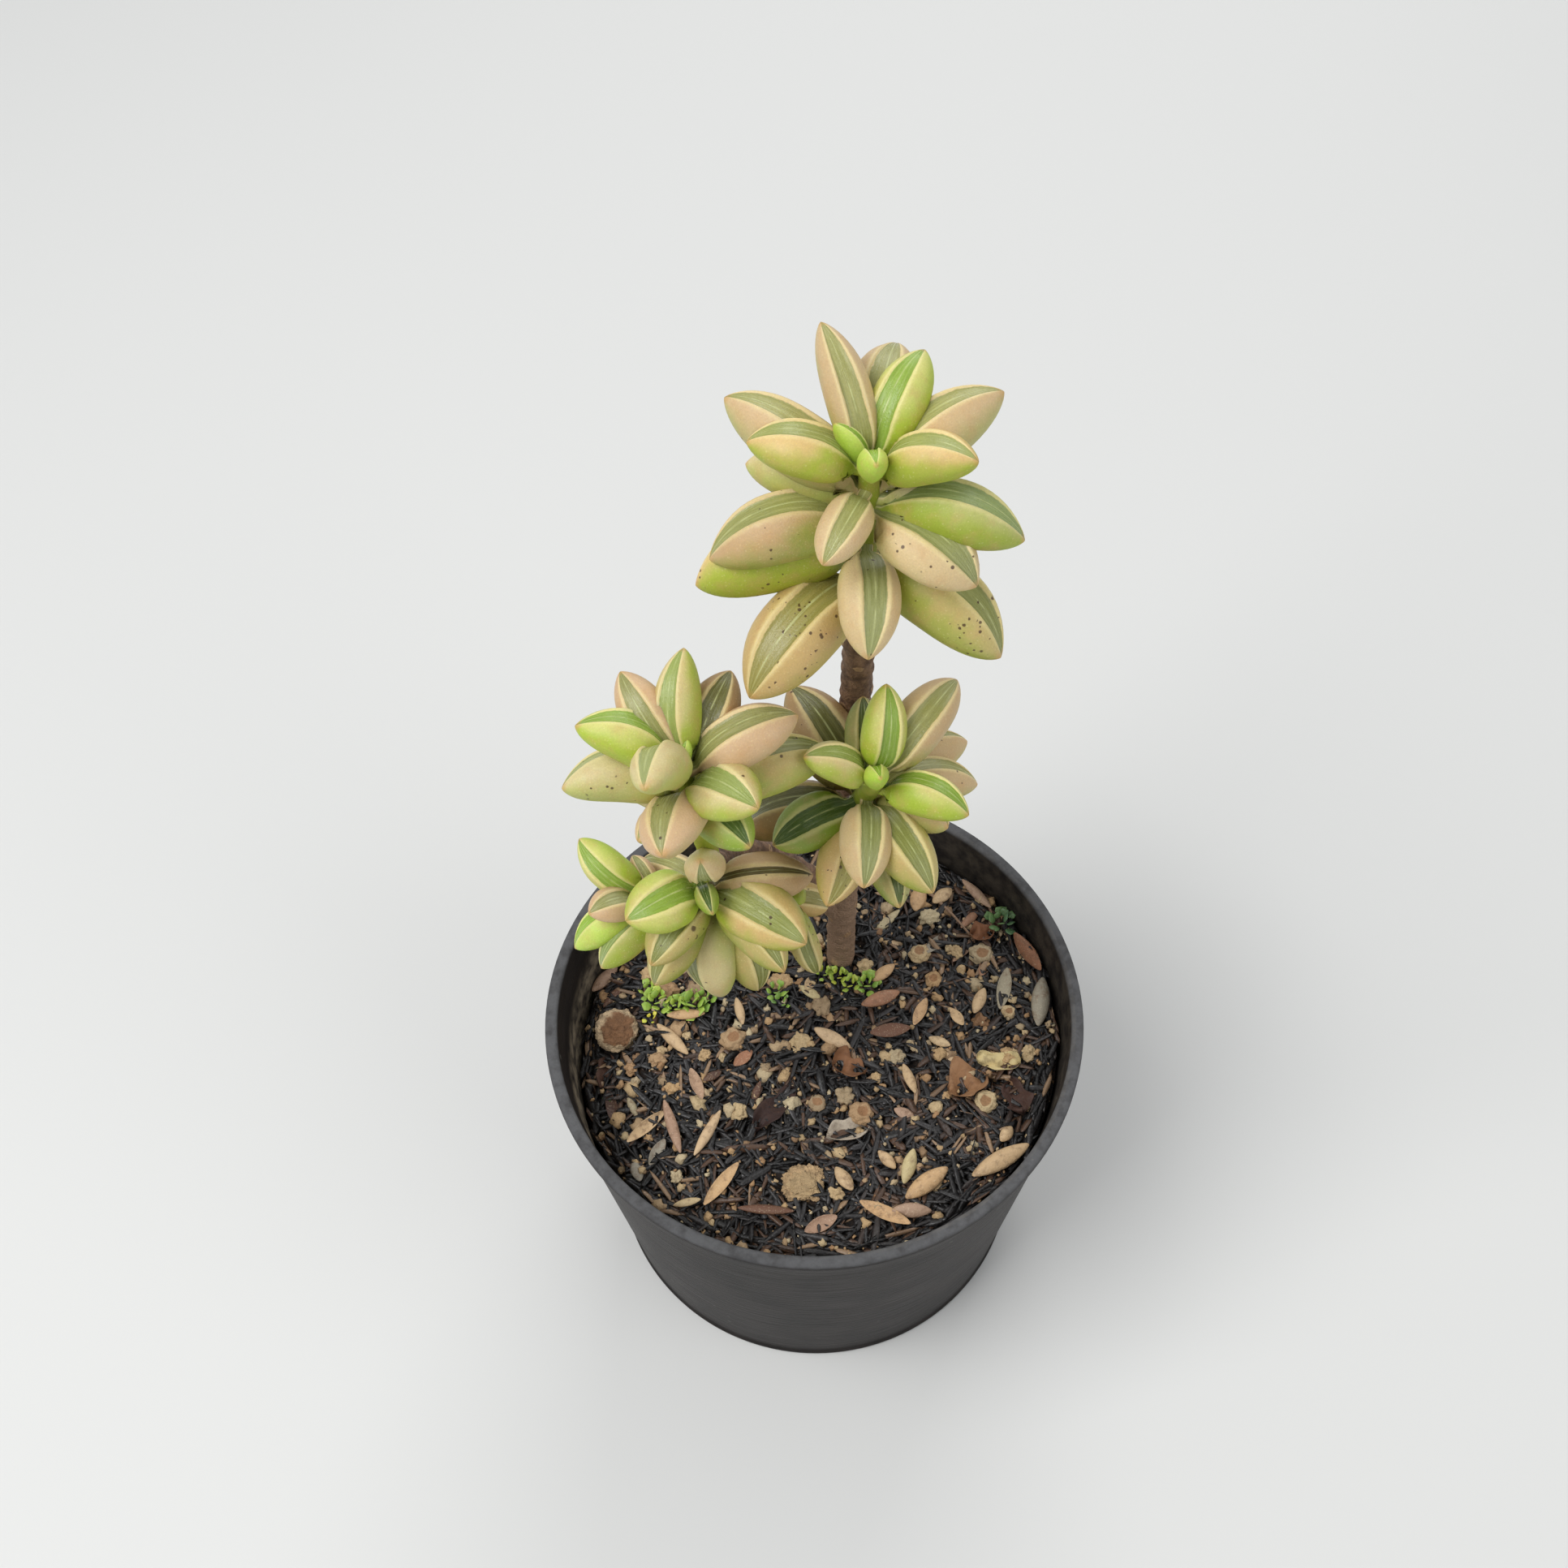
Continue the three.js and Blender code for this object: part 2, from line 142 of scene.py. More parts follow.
class Field:
    """A value that changes over the surface: one output of a shader node."""

    def __init__(self, socket):
        self.socket = socket
        self.tree = socket.id_data

    def sibling(self, output):
        """Another output of the same node."""
        return Field(self.socket.node.outputs[output])

    def math(self, operation, *others):
        return put(self.tree, "Math", dict(enumerate((self, *others))), operation=operation)

    def __add__(self, other):
        return self.math("ADD", other)

    def __sub__(self, other):
        return self.math("SUBTRACT", other)

    def __mul__(self, other):
        return self.math("MULTIPLY", other)

    def __rtruediv__(self, other):
        return put(self.tree, "Math", {0: other, 1: self}, operation="DIVIDE")

    def __lt__(self, other):
        return self.math("LESS_THAN", other)

    def at_least(self, other):
        return self.math("MAXIMUM", other)

    def step(self, start, end, low=0.0, high=1.0):
        """A soft step: low before start, high after end."""
        sockets = {"Value": self, "From Min": start, "From Max": end, "To Min": low, "To Max": high}
        return put(self.tree, "MapRange", sockets, interpolation_type="SMOOTHSTEP")

    def cloud(self, size, detail=2.0, rough=0.5):
        """Soft noise, 0 to 1, at a place. Its blots are about that many units wide."""
        sockets = {"Vector": self, "Scale": 1 / size, "Detail": detail, "Roughness": rough}
        return put(self.tree, "TexNoise", sockets)


def blend(share, first, second, mode="MIX"):
    """A colour between two, or their product where the mode is MULTIPLY."""
    tree = next(value.tree for value in (share, first, second) if isinstance(value, Field))
    sockets = {0: share, 6: first, 7: second}
    return put(tree, "Mix", sockets, 2, data_type="RGBA", blend_type=mode)


def in_mm(tree):
    """The object's own coordinates in millimetres."""
    own = put(tree, "TexCoord", output="Object")
    return put(tree, "VectorMath", {0: own, "Scale": 1 / MM}, operation="SCALE")


print("a paint:", [round(c, 3) for c in paint(0.5, 0.5, 0.5)])

# %% [markdown]
# Two effects come back in several materials. Grain is fine, even noise, as on plastic, bark
# and leaf skin. Specks are scattered dots, as on old leaves and dusty bark. Each is a shader
# node group with named sockets, built once and given its own values in each material.

# %% Shader groups: grain and specks
def new_group(name, inputs, outputs):
    """A node group with float sockets: its tree, its inputs as Fields, and its last node."""
    group = bpy.data.node_groups.new(name, "ShaderNodeTree")
    kind = "NodeSocketFloat"
    for socket, value in inputs.items():
        group.interface.new_socket(socket, in_out="INPUT", socket_type=kind).default_value = value
    for socket in outputs:
        group.interface.new_socket(socket, in_out="OUTPUT", socket_type=kind)
    given = group.nodes.new("NodeGroupInput").outputs
    return group, [Field(given[socket]) for socket in inputs], group.nodes.new("NodeGroupOutput")


def grain_group():
    """Grain of a size in mm: Shade is about 1 and Height is 0 to 1."""
    inputs = {"Size": 0.3, "Contrast": 0.2}
    group, (size, contrast), result = new_group("grain", inputs, ["Shade", "Height"])
    sockets = {"Vector": in_mm(group), "Scale": 1.0 / size, "Detail": 3.0, "Roughness": 0.6}
    fine = put(group, "TexNoise", sockets)
    connect(result, {"Shade": (fine - 0.5) * contrast + 1.0, "Height": fine})
    return group


def specks_group():
    """Round dots in a share of the cells of a net whose mesh is Size mm wide."""
    inputs = {"Size": 0.8, "Amount": 0.3, "Radius": 0.25}
    group, (size, amount, radius), result = new_group("specks", inputs, ["Mask"])
    cells = {"Vector": in_mm(group), "Scale": 1.0 / size}
    distance = put(group, "TexVoronoi", cells, "Distance")
    draw = put(group, "SeparateColor", {0: distance.sibling("Color")})
    reach = radius * (draw.sibling(1) + 0.35)
    connect(result, {"Mask": (draw < amount) * distance.step(reach, reach * 0.6)})
    return group


grain = grain_group()
specks = specks_group()
print("groups:", grain.name, specks.name)

# %% [markdown]
# A material is painted as a model is: first a base of one or two colours, then coat upon coat
# where a mask says so, and the grain last. The Skin class holds a material while that is done.
# What is the same all over goes straight onto the shader's own sockets.

# %% A skin, painted coat by coat
class Skin:
    """A material in the making, its colour so far, and the place in mm."""

    def __init__(self, name, roughness, **constants):
        self.material = bpy.data.materials.new(name)
        self.material.use_nodes = True
        self.tree = self.material.node_tree
        self.shader = self.tree.nodes["Principled BSDF"]
        self.place = in_mm(self.tree)
        constants["Roughness"] = roughness
        connect(self.shader, {name.replace("_", " "): value for name, value in constants.items()})

    def reading(self, name, output="Fac"):
        """A mesh attribute."""
        return put(self.tree, "Attribute", None, output, attribute_name=name)

    def use(self, group, **values):
        """A node group with its values. It gives the outputs by name."""
        node = self.tree.nodes.new("ShaderNodeGroup")
        node.node_tree = group
        connect(node, values)
        return {output.name: Field(output) for output in node.outputs}

    def cloud(self, *settings):
        return self.place.cloud(*settings)

    def specks(self, size, amount, radius):
        return self.use(specks, Size=size, Amount=amount, Radius=radius)["Mask"]

    def base(self, share, first, second):
        self.color = blend(share, paint(*first), paint(*second))

    def coat(self, share, *color):
        self.color = blend(share, self.color, paint(*color))

    def tones(self, *stops):
        """A base by each copy's tone, from rows of a tone and its screen colour."""
        self.color = put(self.tree, "ValToRGB", {0: self.reading("tone")})
        ramp = self.color.socket.node.color_ramp.elements
        ramp.remove(ramp[1])
        ramp[0].position = stops[0][0]
        ramp[0].color = paint(*stops[0][1:])
        for position, *color in stops[1:]:
            ramp.new(position).color = paint(*color)

    def grained(self, size, contrast):
        """Grain on the colour. It gives the height of that grain."""
        fine = self.use(grain, Size=size, Contrast=contrast)
        self.color = blend(1.0, self.color, fine["Shade"], "MULTIPLY")
        return fine["Height"]

    def finish(self, height, depth, roughness=None):
        """Links the colour, a height that is depth mm deep, and a roughness that changes."""
        bump = put(self.tree, "Bump", {"Height": height, "Distance": depth * MM})
        connect(self.shader, {"Base Color": self.color, "Normal": bump})
        if roughness:
            connect(self.shader, {"Roughness": roughness})
        return self.material


print("the specks group has", len(specks.nodes), "nodes")

# %% [markdown]
# Every piece is built in millimetres in a bmesh, an editable mesh that bmesh operators work
# on. One function then turns it into metres, makes it an object at the origin, gives it its
# material, lets it ride on the part's one body, and hides the CAD nodes that it stands for.

# %% Keeping a finished piece
def to_mesh(name, bm):
    """Turns a bmesh into a mesh, and frees it."""
    mesh = bpy.data.meshes.new(name)
    bm.to_mesh(mesh)
    bm.free()
    return mesh


def keep(name, bm, material, slot, *stands_for):
    """Makes a finished piece from a bmesh in mm, in the place of the CAD nodes it stands for."""
    bmesh.ops.scale(bm, vec=(MM, MM, MM), verts=bm.verts)
    mesh = to_mesh(name, bm)
    mesh.materials.append(material)
    mesh.polygons.foreach_set("use_smooth", [True] * len(mesh.polygons))
    piece = add(name, mesh)
    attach(piece, "root")
    if stands_for:
        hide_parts(*stands_for)
    mesh.calc_loop_triangles()
    print(name, "has", len(mesh.loop_triangles), "triangles")
    return piece


# %% [markdown]
# The floor is a large plain sheet under the pot. It is staging, and not part of the plant.

# %% The floor
bm = bmesh.new()
bmesh.ops.create_grid(bm, x_segments=4, y_segments=4, size=3.0)
floor = add("floor", to_mesh("floor", bm))
floor.data.materials.append(Skin("pale floor", 0.7, Base_Color=paint(0.87, 0.87, 0.86)).material)
print("floor is", floor.dimensions.x, "m wide")

# %% [markdown]
# The pot is thin injection-moulded plastic. Its wall is a solid of revolution, so half of its
# section is drawn once and spun round the axis. The section goes up the outside over a foot
# bead, a faint mould line and the lip, down the inside, and across the floor. The drain holes
# are then cut with a Boolean modifier, which is applied at once.

# %% The pot's sizes, from the frame
pot_low, pot_high = (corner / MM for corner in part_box("pot"))
rim_radius = (pot_high.x - pot_low.x) / 2
pot_height = pot_high.z
base_radius = 31.0
lip_reach = 0.5
wall = 1.2
taper = (rim_radius - lip_reach - base_radius) / pot_height
print("pot: rim radius", round(rim_radius, 2), "height", round(pot_height, 2))


def outer_radius(z):
    return base_radius + taper * z


def inner_radius(z):
    return outer_radius(z) - wall


# %% The pot's wall and floor
def pot_section():
    """Points (radius, height) from the axis under the pot round to the axis on its floor."""
    lip = pot_height - 1.5
    foot = base_radius + 0.3
    brim = inner_radius(pot_height)
    return [
        (0, 0.5), (base_radius - 3.2, 0.5), (base_radius - 2.6, 0.1), (base_radius - 2.2, 0),
        (foot - 0.5, 0), (foot - 0.15, 0.12), (foot, 0.45), (outer_radius(1.2) + 0.3, 1.1),
        (outer_radius(1.5) + 0.12, 1.5), (outer_radius(1.8), 1.9),
        *((outer_radius(z), z) for z in (3, 10, 20, 30, 40, 47, 49.9)),
        (outer_radius(50.4) + 0.1, 50.4), (outer_radius(50.9), 50.9), (outer_radius(lip), lip),
        (rim_radius - 0.12, lip + 0.12), (rim_radius, lip + 0.4), (rim_radius, pot_height - 0.45),
        (rim_radius - 0.13, pot_height - 0.12), (rim_radius - 0.45, pot_height),
        (brim + 0.4, pot_height), (brim + 0.1, pot_height - 0.12), (brim, pot_height - 0.5),
        *((inner_radius(z), z) for z in (51, 50.2)),
        *((inner_radius(z) - 0.07, z) for z in (49.9, 48.2)),
        *((inner_radius(z), z) for z in (47.9, 44, 38, 30, 20, 10, 3, 1.8)),
        (inner_radius(wall) - 0.8, wall), (0, wall),
    ]


def spun(points, steps):
    """A closed skin of revolution about Z from (radius, height) points."""
    bm = bmesh.new()
    line = [bm.verts.new((r, 0, z)) for r, z in points]
    edges = [bm.edges.new(pair) for pair in zip(line, line[1:])]
    bmesh.ops.spin(bm, geom=line + edges, cent=(0, 0, 0), axis=(0, 0, 1), angle=math.tau,
                   steps=steps, use_merge=True)
    bmesh.ops.remove_doubles(bm, verts=bm.verts, dist=1e-4)
    bmesh.ops.recalc_face_normals(bm, faces=bm.faces)
    return bm


print("the pot's section has", len(pot_section()), "points")

# %% [markdown]
# Black nursery plastic is dull, a little brown, and scuffed. Image textures could show that,
# but they need a photograph of the pot, so masks of noise and height do it instead: streaks
# round the wall, a rim that is rubbed pale and painted with a highlight on its top edge, and
# pale dust inside, where the watered soil once stood.

# %% The pot's plastic
soil_level = 44.8
soil_tilt = 0.055
washed_edge = -24.0
washed_slope = 0.4


def pot_material():
    """Dark plastic, rim pale from scuffs and a painted highlight, dust left inside above the soil."""
    skin = Skin("black nursery plastic", 0.5, Specular_IOR_Level=0.07)
    x = put(skin.tree, "SeparateXYZ", {0: skin.place})
    y, z = x.sibling(1), x.sibling(2)
    inside = (x * x + y * y).math("SQRT") < z * taper + (base_radius - wall / 2)

    # Long faint marks run round the wall, as the tool left them
    round_way = y.math("ARCTAN2", x) * 3.0
    streaks = put(skin.tree, "CombineXYZ", {0: round_way, 1: z * 2.2, 2: inside}).cloud(1.0, 4.0)
    skin.base(skin.cloud(7.0, 3.0).step(0.3, 0.7), (0.130, 0.118, 0.114), (0.175, 0.158, 0.152))
    skin.coat(streaks.step(0.55, 0.8, 0.0, 0.4), 0.25, 0.235, 0.23)
    skin.coat(inside * 0.55, 0.17, 0.16, 0.155)

    # The rim's top edge is pale grey: partly rubbed wear, partly a painted highlight where light falls
    top = z.step(pot_height - 0.8, pot_height - 0.1)
    rub_and_highlight = top * skin.cloud(1.6, 4.0).step(0.25, 0.62, 0.55, 1.0)
    skin.coat(rub_and_highlight, 0.37, 0.37, 0.375)
    skin.coat(skin.specks(2.2, 0.1, 0.16) * 0.22, 0.55, 0.55, 0.53)

    # Dust clings inside, just above the soil, mostly on the washed left
    washed = (x * -1.0 + washed_edge).at_least(0.0)
    above = z - (x * soil_tilt + soil_level - washed * washed_slope)
    band = above.step(9.0, 5.0) * above.step(-2.0, 0.5)
    left = (y * 0.75 + x).step(12.0, -20.0, 0.18, 1.0)
    dust = band * left * (skin.cloud(1.8, 3.0).step(0.25, 0.75) * inside)
    skin.coat(dust * 0.8, 0.60, 0.55, 0.47)

    height = streaks * 1.4 + skin.grained(0.35, 0.3)
    rough = (streaks * 0.25 + 0.3).at_least(dust.at_least(rub_and_highlight) * 0.75)
    return skin.finish(height, 0.05, rough.at_least(inside * 0.55))


pot = keep("pot_shell", spun(pot_section(), 144), pot_material(), "pot", "pot")

# %% The drain holes
drain_hole_radius = 2.6
drain_hole_circle = 21
drain_holes = 6
bm = bmesh.new()
for hole in range(drain_holes):
    angle = math.tau * (hole + 0.5) / drain_holes
    middle = Vector((drain_hole_circle * math.cos(angle), drain_hole_circle * math.sin(angle), 0))
    bmesh.ops.create_cone(bm, cap_ends=True, segments=32, radius1=drain_hole_radius * MM,
                          radius2=drain_hole_radius * MM, depth=6 * MM,
                          matrix=Matrix.Translation(middle * MM))
drill = add("drill", to_mesh("drill", bm))
cut = pot.modifiers.new("drain holes", "BOOLEAN")
cut.object = drill
cut.operation = "DIFFERENCE"
cut.solver = "EXACT"
bpy.context.view_layer.update()
bored = bpy.data.meshes.new_from_object(pot.evaluated_get(bpy.context.evaluated_depsgraph_get()))
pot.modifiers.clear()
pot.data = bored
bpy.data.objects.remove(drill)
sharp = [abs(p.normal.z) > 0.999 and p.center.z < 2 * MM for p in pot.data.polygons]
pot.data.polygons.foreach_set("use_smooth", [not flat for flat in sharp])
print("the pot has", len(pot.data.polygons), "faces after its holes were cut")

# %% [markdown]
# The soil is a bed of fine dark mix, and its top is a mat of charred rice husks with paler
# husks, grit and chips. The bed is spun like the pot, and its top follows the height formula
# of the CAD soil, with finer noise on it. Everything that lies on the bed asks the same
# formula where the ground is.

# %% The soil bed
fit = 0.3


def soil_height(x, y):
    """The formula of the CAD soil's top: a tilt, a washed left side and two waves."""
    washed = washed_slope * max(0.0, washed_edge - x)
    slow = math.sin(0.21 * x + 1.1) * math.cos(0.17 * y - 0.4)
    fine = math.sin(0.73 * x - 0.5 * y) * math.cos(0.66 * y + 0.4 * x + 2)
    return soil_level + soil_tilt * x - washed + 0.7 * (0.7 * slow + 0.45 * fine)


def soil_bed():
    reach = inner_radius(soil_level + 3) - fit
    rings = 44
    section = [(0, wall + fit), (inner_radius(wall + fit) - fit, wall + fit), (reach * 0.999, 30)]
    section += [(reach * (1 - k / rings), soil_level) for k in range(rings + 1)]
    bm = spun(section, 132)
    for vertex in bm.verts:
        x, y, z = vertex.co
        if z > 35:
            crumbs = 0.45 * noise.fractal(Vector((x, y, 3)) * 0.55, 1.0, 2.0, 4)
            edge = 1.2 * max(0.0, (math.hypot(x, y) - reach + 1.6) / 1.6)
            z = soil_height(x, y) - 0.25 + crumbs - edge
            vertex.co.z = z
        room = inner_radius(z) - fit
        if z > 29 and math.hypot(x, y) > room:
            vertex.co.xy *= room / math.hypot(x, y)
    return bm


def soil_material():
    skin = Skin("dark potting mix", 0.9)
    coarse = skin.cloud(1.1, 5.0, 0.7)
    skin.base(coarse.step(0.35, 0.72), (0.085, 0.075, 0.07), (0.27, 0.2, 0.15))
    skin.coat(skin.specks(0.55, 0.12, 0.5), 0.58, 0.46, 0.32)
    return skin.finish(coarse, 0.8)


keep("soil_bed", soil_bed(), soil_material(), "soil", "soil")

# %% [markdown]
# The topping is thousands of small bits. A bit is a template shape that is copied, stretched,
# turned and laid on the ground. Each copy takes a tone, 0 to 1, in a mesh attribute, and the
# material turns that into its own colour. A seeded random source gives the same topping in
# every run.

# %% Laying bits on the soil
chance = random.Random(41)
wall_margin = 0.9
mat_thickness = 0.75

# The trunk, the nugget and the disc: each one's middle, and the radius that bits keep clear of
taken = [(4, 12.4, 2.5), (-28.6, 2.0, 3.9), (-1.6, -22.5, 3.6)]


def round_bit(detail):
    """An icosphere, one unit across."""
    bm = bmesh.new()
    bmesh.ops.create_icosphere(bm, subdivisions=detail, radius=0.5)
    return to_mesh("round bit", bm)


def seed(sides, rings):
    """A sphere, one unit across, with its poles on X, as the tips of a husk are."""
    bm = bmesh.new()
    bmesh.ops.create_uvsphere(bm, u_segments=sides, v_segments=rings, radius=0.5,
                              matrix=Matrix.Rotation(math.pi / 2, 4, "Y"))
    return to_mesh("seed", bm)


class Scatter:
    """Copies of small shapes, gathered in one mesh with a tone for each."""

    def __init__(self):
        self.bm = bmesh.new()
        self.tone = self.bm.verts.layers.float.new("tone")
        self.count = 0

    def lay(self, shape, place, bend=None, tone=0.5):
        first = len(self.bm.verts)
        self.bm.from_mesh(shape)
        self.bm.verts.ensure_lookup_table()
        for vertex in self.bm.verts[first:]:
            local = bend(vertex.co) if bend else vertex.co
            vertex.co = place @ local
            vertex[self.tone] = tone
        self.count += 1


def lying(x, y, up, turn, pitch, roll, size):
    """The place of a bit whose middle is up mm above the ground, turned in degrees."""
    turns = Euler([math.radians(angle) for angle in (roll, pitch, turn)])
    return Matrix.LocRotScale(Vector((x, y, soil_height(x, y) + up)), turns, Vector(size))


def random_spot(reach=34.0):
    """An even draw over the soil's round top, clear of the trunk and the large bits."""
    while True:
        radius = reach * math.sqrt(chance.random())
        angle = chance.uniform(0, math.tau)
        x, y = radius * math.cos(angle), radius * math.sin(angle)
        free = all(math.hypot(x - tx, y - ty) >= keep_off for tx, ty, keep_off in taken)
        if free and radius < inner_radius(soil_height(x, y)) - wall_margin:
            return x, y


print("the ground is", round(soil_height(0, 0), 1), "mm up in the middle")


# %% The mat of charred husks
splinter = seed(5, 4)
splinters = 4800


def curved(amount):
    """A bend: the ends sink or rise with the square of the distance from the middle."""
    return lambda co: Vector((co.x, co.y + amount * 0.6 * co.x * co.x, co.z - amount * co.x * co.x))


mat = Scatter()
for _ in range(splinters):
    x, y = random_spot()
    length = chance.triangular(2.6, 8.0, 4.2)
    width = chance.triangular(0.45, 1.5, 0.75)
    near_wall = math.hypot(x, y) > inner_radius(soil_height(x, y)) - length / 2 - 0.4
    along_wall = math.degrees(math.atan2(y, x)) + 90 + chance.gauss(0, 14)
    turn = along_wall if near_wall else chance.uniform(0, 360)
    pitch = chance.gauss(0, 9)
    up = chance.triangular(-0.1, 1.0, 0.25)
    size = (length, width, chance.uniform(0.16, 0.34))
    mat.lay(splinter, lying(x, y, up, turn, pitch, chance.gauss(0, 25), size),
            curved(chance.uniform(-0.14, 0.14)), chance.random())


def char_material():
    """Black burnt husk, with grey streaks along its ribs that are a painted sheen."""
    skin = Skin("charred husk", 0.45)
    tone = skin.reading("tone")
    skin.base(tone.step(0.1, 0.8), (0.085, 0.08, 0.08), (0.20, 0.19, 0.19))
    skin.coat(tone.step(0.74, 0.84), 0.34, 0.25, 0.19)
    skin.coat(tone.step(0.93, 0.96), 0.60, 0.49, 0.38)
    sheen_streak = skin.cloud(0.35, 3.0)
    # The grey streaks along the ribs are a painted sheen
    skin.coat(sheen_streak.step(0.5, 0.8, 0.0, 0.5), 0.36, 0.35, 0.345)
    return skin.finish(sheen_streak, 0.06, sheen_streak.step(0.3, 0.7, 0.32, 0.62))


keep("charred_husks", mat.bm, char_material(), "soil")

# %% [markdown]
# Uncharred rice husks lie on top. The real husk is a thin boat, 5 to 8 mm long, with ribs from
# tip to tip, and some lie open side up. The visible ones are placed as in the photograph: the
# middle, the length and width in mm, the turn in degrees, and the tone. Some more are drawn
# at random for the far side, where the photograph shows nothing.

# %% Pale husks
husk_shape = seed(14, 10)
husk_ribs = 10


def husk(open_side, bow):
    """Bends a seed into a closed husk, or an open boat."""
    def bend(co):
        swell = 1 + 0.05 * math.cos(husk_ribs * math.atan2(co.z, co.y))
        taper = 1 - 0.35 * abs(2 * co.x) ** 2
        y, z = co.y * swell * taper, co.z * swell * taper
        if open_side and z > 0:
            z *= -0.72
        return Vector((co.x, y + 0.35 * bow * co.x * co.x, z - bow * co.x * co.x))
    return bend


husk_tones = {"tan": 0.5, "orange": 0.62, "pale": 0.3, "cream": 0.38, "yellow": 0.2,
              "grey": 0.08, "pink": 0.75, "red": 0.86, "brown": 0.96}
husk_rows = [
    (-20.3, -0.3, 6.9, 1.6, -47, "tan"), (-18.5, 3.5, 5.6, 1.5, 2, "orange"),
    (-23.5, -13.6, 7.0, 1.5, 41, "tan"), (-19.8, -14.1, 8.4, 1.4, -72, "pink"),
    (-21.8, -17.6, 4.3, 1.5, 62, "grey"), (-14.8, -15.3, 7.8, 1.3, 63, "cream"),
    (-12.8, -22.8, 7.5, 1.6, 51, "orange"), (-17.4, -25.2, 3.9, 1.1, 12, "pale"),
    (-6.7, -26.6, 7.7, 1.4, -4, "brown"), (3.9, -22.4, 4.1, 1.8, -57, "tan"),
    (9.2, -27.5, 7.8, 1.7, -29, "orange"), (15.0, -23.4, 7.3, 2.3, 36, "orange"),
    (12.8, -27.2, 5.4, 1.8, -1, "pink"), (25.1, -20.4, 9.2, 2.5, 29, "tan"),
    (12.7, -21.1, 5.1, 1.7, 72, "yellow"), (9.8, -19.8, 3.4, 1.4, -47, "tan"),
    (2.6, -1.3, 6.1, 1.8, -32, "cream"), (9.7, 4.8, 6.0, 1.9, 20, "red"),
    (10.9, -0.3, 5.9, 2.0, 9, "brown"), (13.3, -7.8, 5.2, 1.4, -73, "tan"),
    (17.8, -2.1, 3.4, 1.3, -27, "pale"), (23.8, 4.1, 4.6, 1.6, 67, "tan"),
    (27.4, 5.7, 6.6, 1.8, 77, "grey"), (32.4, 3.3, 8.3, 2.4, 80, "grey"),
    (31.2, 11.7, 7.5, 2.1, -64, "red"), (-10.7, 3.9, 4.4, 1.2, -76, "tan"),
    (-10.1, -3.7, 3.6, 1.5, 44, "red"), (-16.6, -7.7, 5.5, 1.5, -70, "pink"),
    (0.7, -28.8, 4.9, 1.8, 26, "pink"), (-14.4, -6.5, 3.0, 1.2, 30, "brown"),
    (10.2, 9.1, 4.2, 1.8, 38, "orange"), (26.2, -16.6, 2.8, 1.5, 52, "tan"),
    (-28.7, -9.8, 5.8, 1.5, -74, "brown"), (-31.0, 11.4, 5.5, 1.8, 50, "pink"),
    (15.3, 2.8, 4.7, 1.5, 65, "orange"), (20.5, 1.7, 3.2, 1.4, -59, "tan"),
    (15.8, 21.5, 4.6, 2.2, 78, "orange"), (19.4, 21.7, 3.8, 2.0, 40, "tan"),
    (24.5, 22.0, 6.5, 1.4, -52, "pink"),
]
husks = Scatter()
for x, y, length, width, turn, tone in husk_rows:
    size = (length, width * 1.1, width * 0.7)
    spin = lying(x, y, 2 * mat_thickness, turn, chance.gauss(0, 4), chance.gauss(0, 8), size)
    husks.lay(husk_shape, spin, husk(chance.random() < 0.3, chance.uniform(-0.3, 0.45)),
              husk_tones[tone] + chance.uniform(-0.03, 0.03))

# Where the photograph shows the ground, most of the drawn ones are left out
drawn, left_out = 46, 34
for number in range(drawn):
    x, y = random_spot(33)
    if number < left_out and y < 8 and x > -24:
        continue
    length = chance.uniform(3.0, 7.0)
    size = (length, chance.uniform(1.1, 1.8), chance.uniform(0.6, 0.9))
    spin = lying(x, y, mat_thickness, chance.uniform(0, 360), chance.gauss(0, 9),
                 chance.gauss(0, 12), size)
    husks.lay(husk_shape, spin, husk(chance.random() < 0.4, chance.uniform(-0.3, 0.4)),
              chance.random())


def husk_material():
    skin = Skin("pale husk", 0.6)
    skin.tones((0.05, 0.60, 0.57, 0.51), (0.2, 0.78, 0.71, 0.52), (0.35, 0.83, 0.71, 0.56),
               (0.5, 0.80, 0.68, 0.52), (0.62, 0.80, 0.65, 0.47), (0.75, 0.68, 0.56, 0.47),
               (0.86, 0.64, 0.44, 0.32), (0.96, 0.30, 0.20, 0.16))
    skin.coat(skin.cloud(1.1, 4.0, 0.65).step(0.45, 0.75, 0.0, 0.7), 0.45, 0.33, 0.24)
    fibres = skin.cloud(0.22)
    skin.coat(fibres.step(0.55, 0.75, 0.0, 0.25), 0.95, 0.88, 0.74)
    return skin.finish(fibres, 0.08)


keep("rice_husks", husks.bm, husk_material(), "soil")
print(husks.count, "husks")

# %% [markdown]
# Grit and small pebbles fill the gaps. The larger ones sit where the photograph shows them:
# the middle, the width in mm, and whether a pit with a pale ring shows on top. An icosphere
# pushed about by noise makes a pebble, and the pit is a dent in its top.

# %% Grit and pebbles
pebble = round_bit(4)
pit_reach = 0.62


def lumpy(number, rough, pit=0.0):
    """Pushes a ball's points in and out by noise, and dents its top."""
    offset = Vector((number * 7.3, number * 3.1, number * 5.7))

    def bend(co):
        way = co.normalized()
        lump = noise.noise(way * 1.5 + offset) + 0.7 * noise.noise(way * 3.4 + offset)
        point = way * 0.5 * (1 + rough * lump)
        if pit and way.z > 0:
            point.z -= pit * max(0.0, 1 - (math.hypot(way.x, way.y) / pit_reach) ** 2)
        return point
    return bend


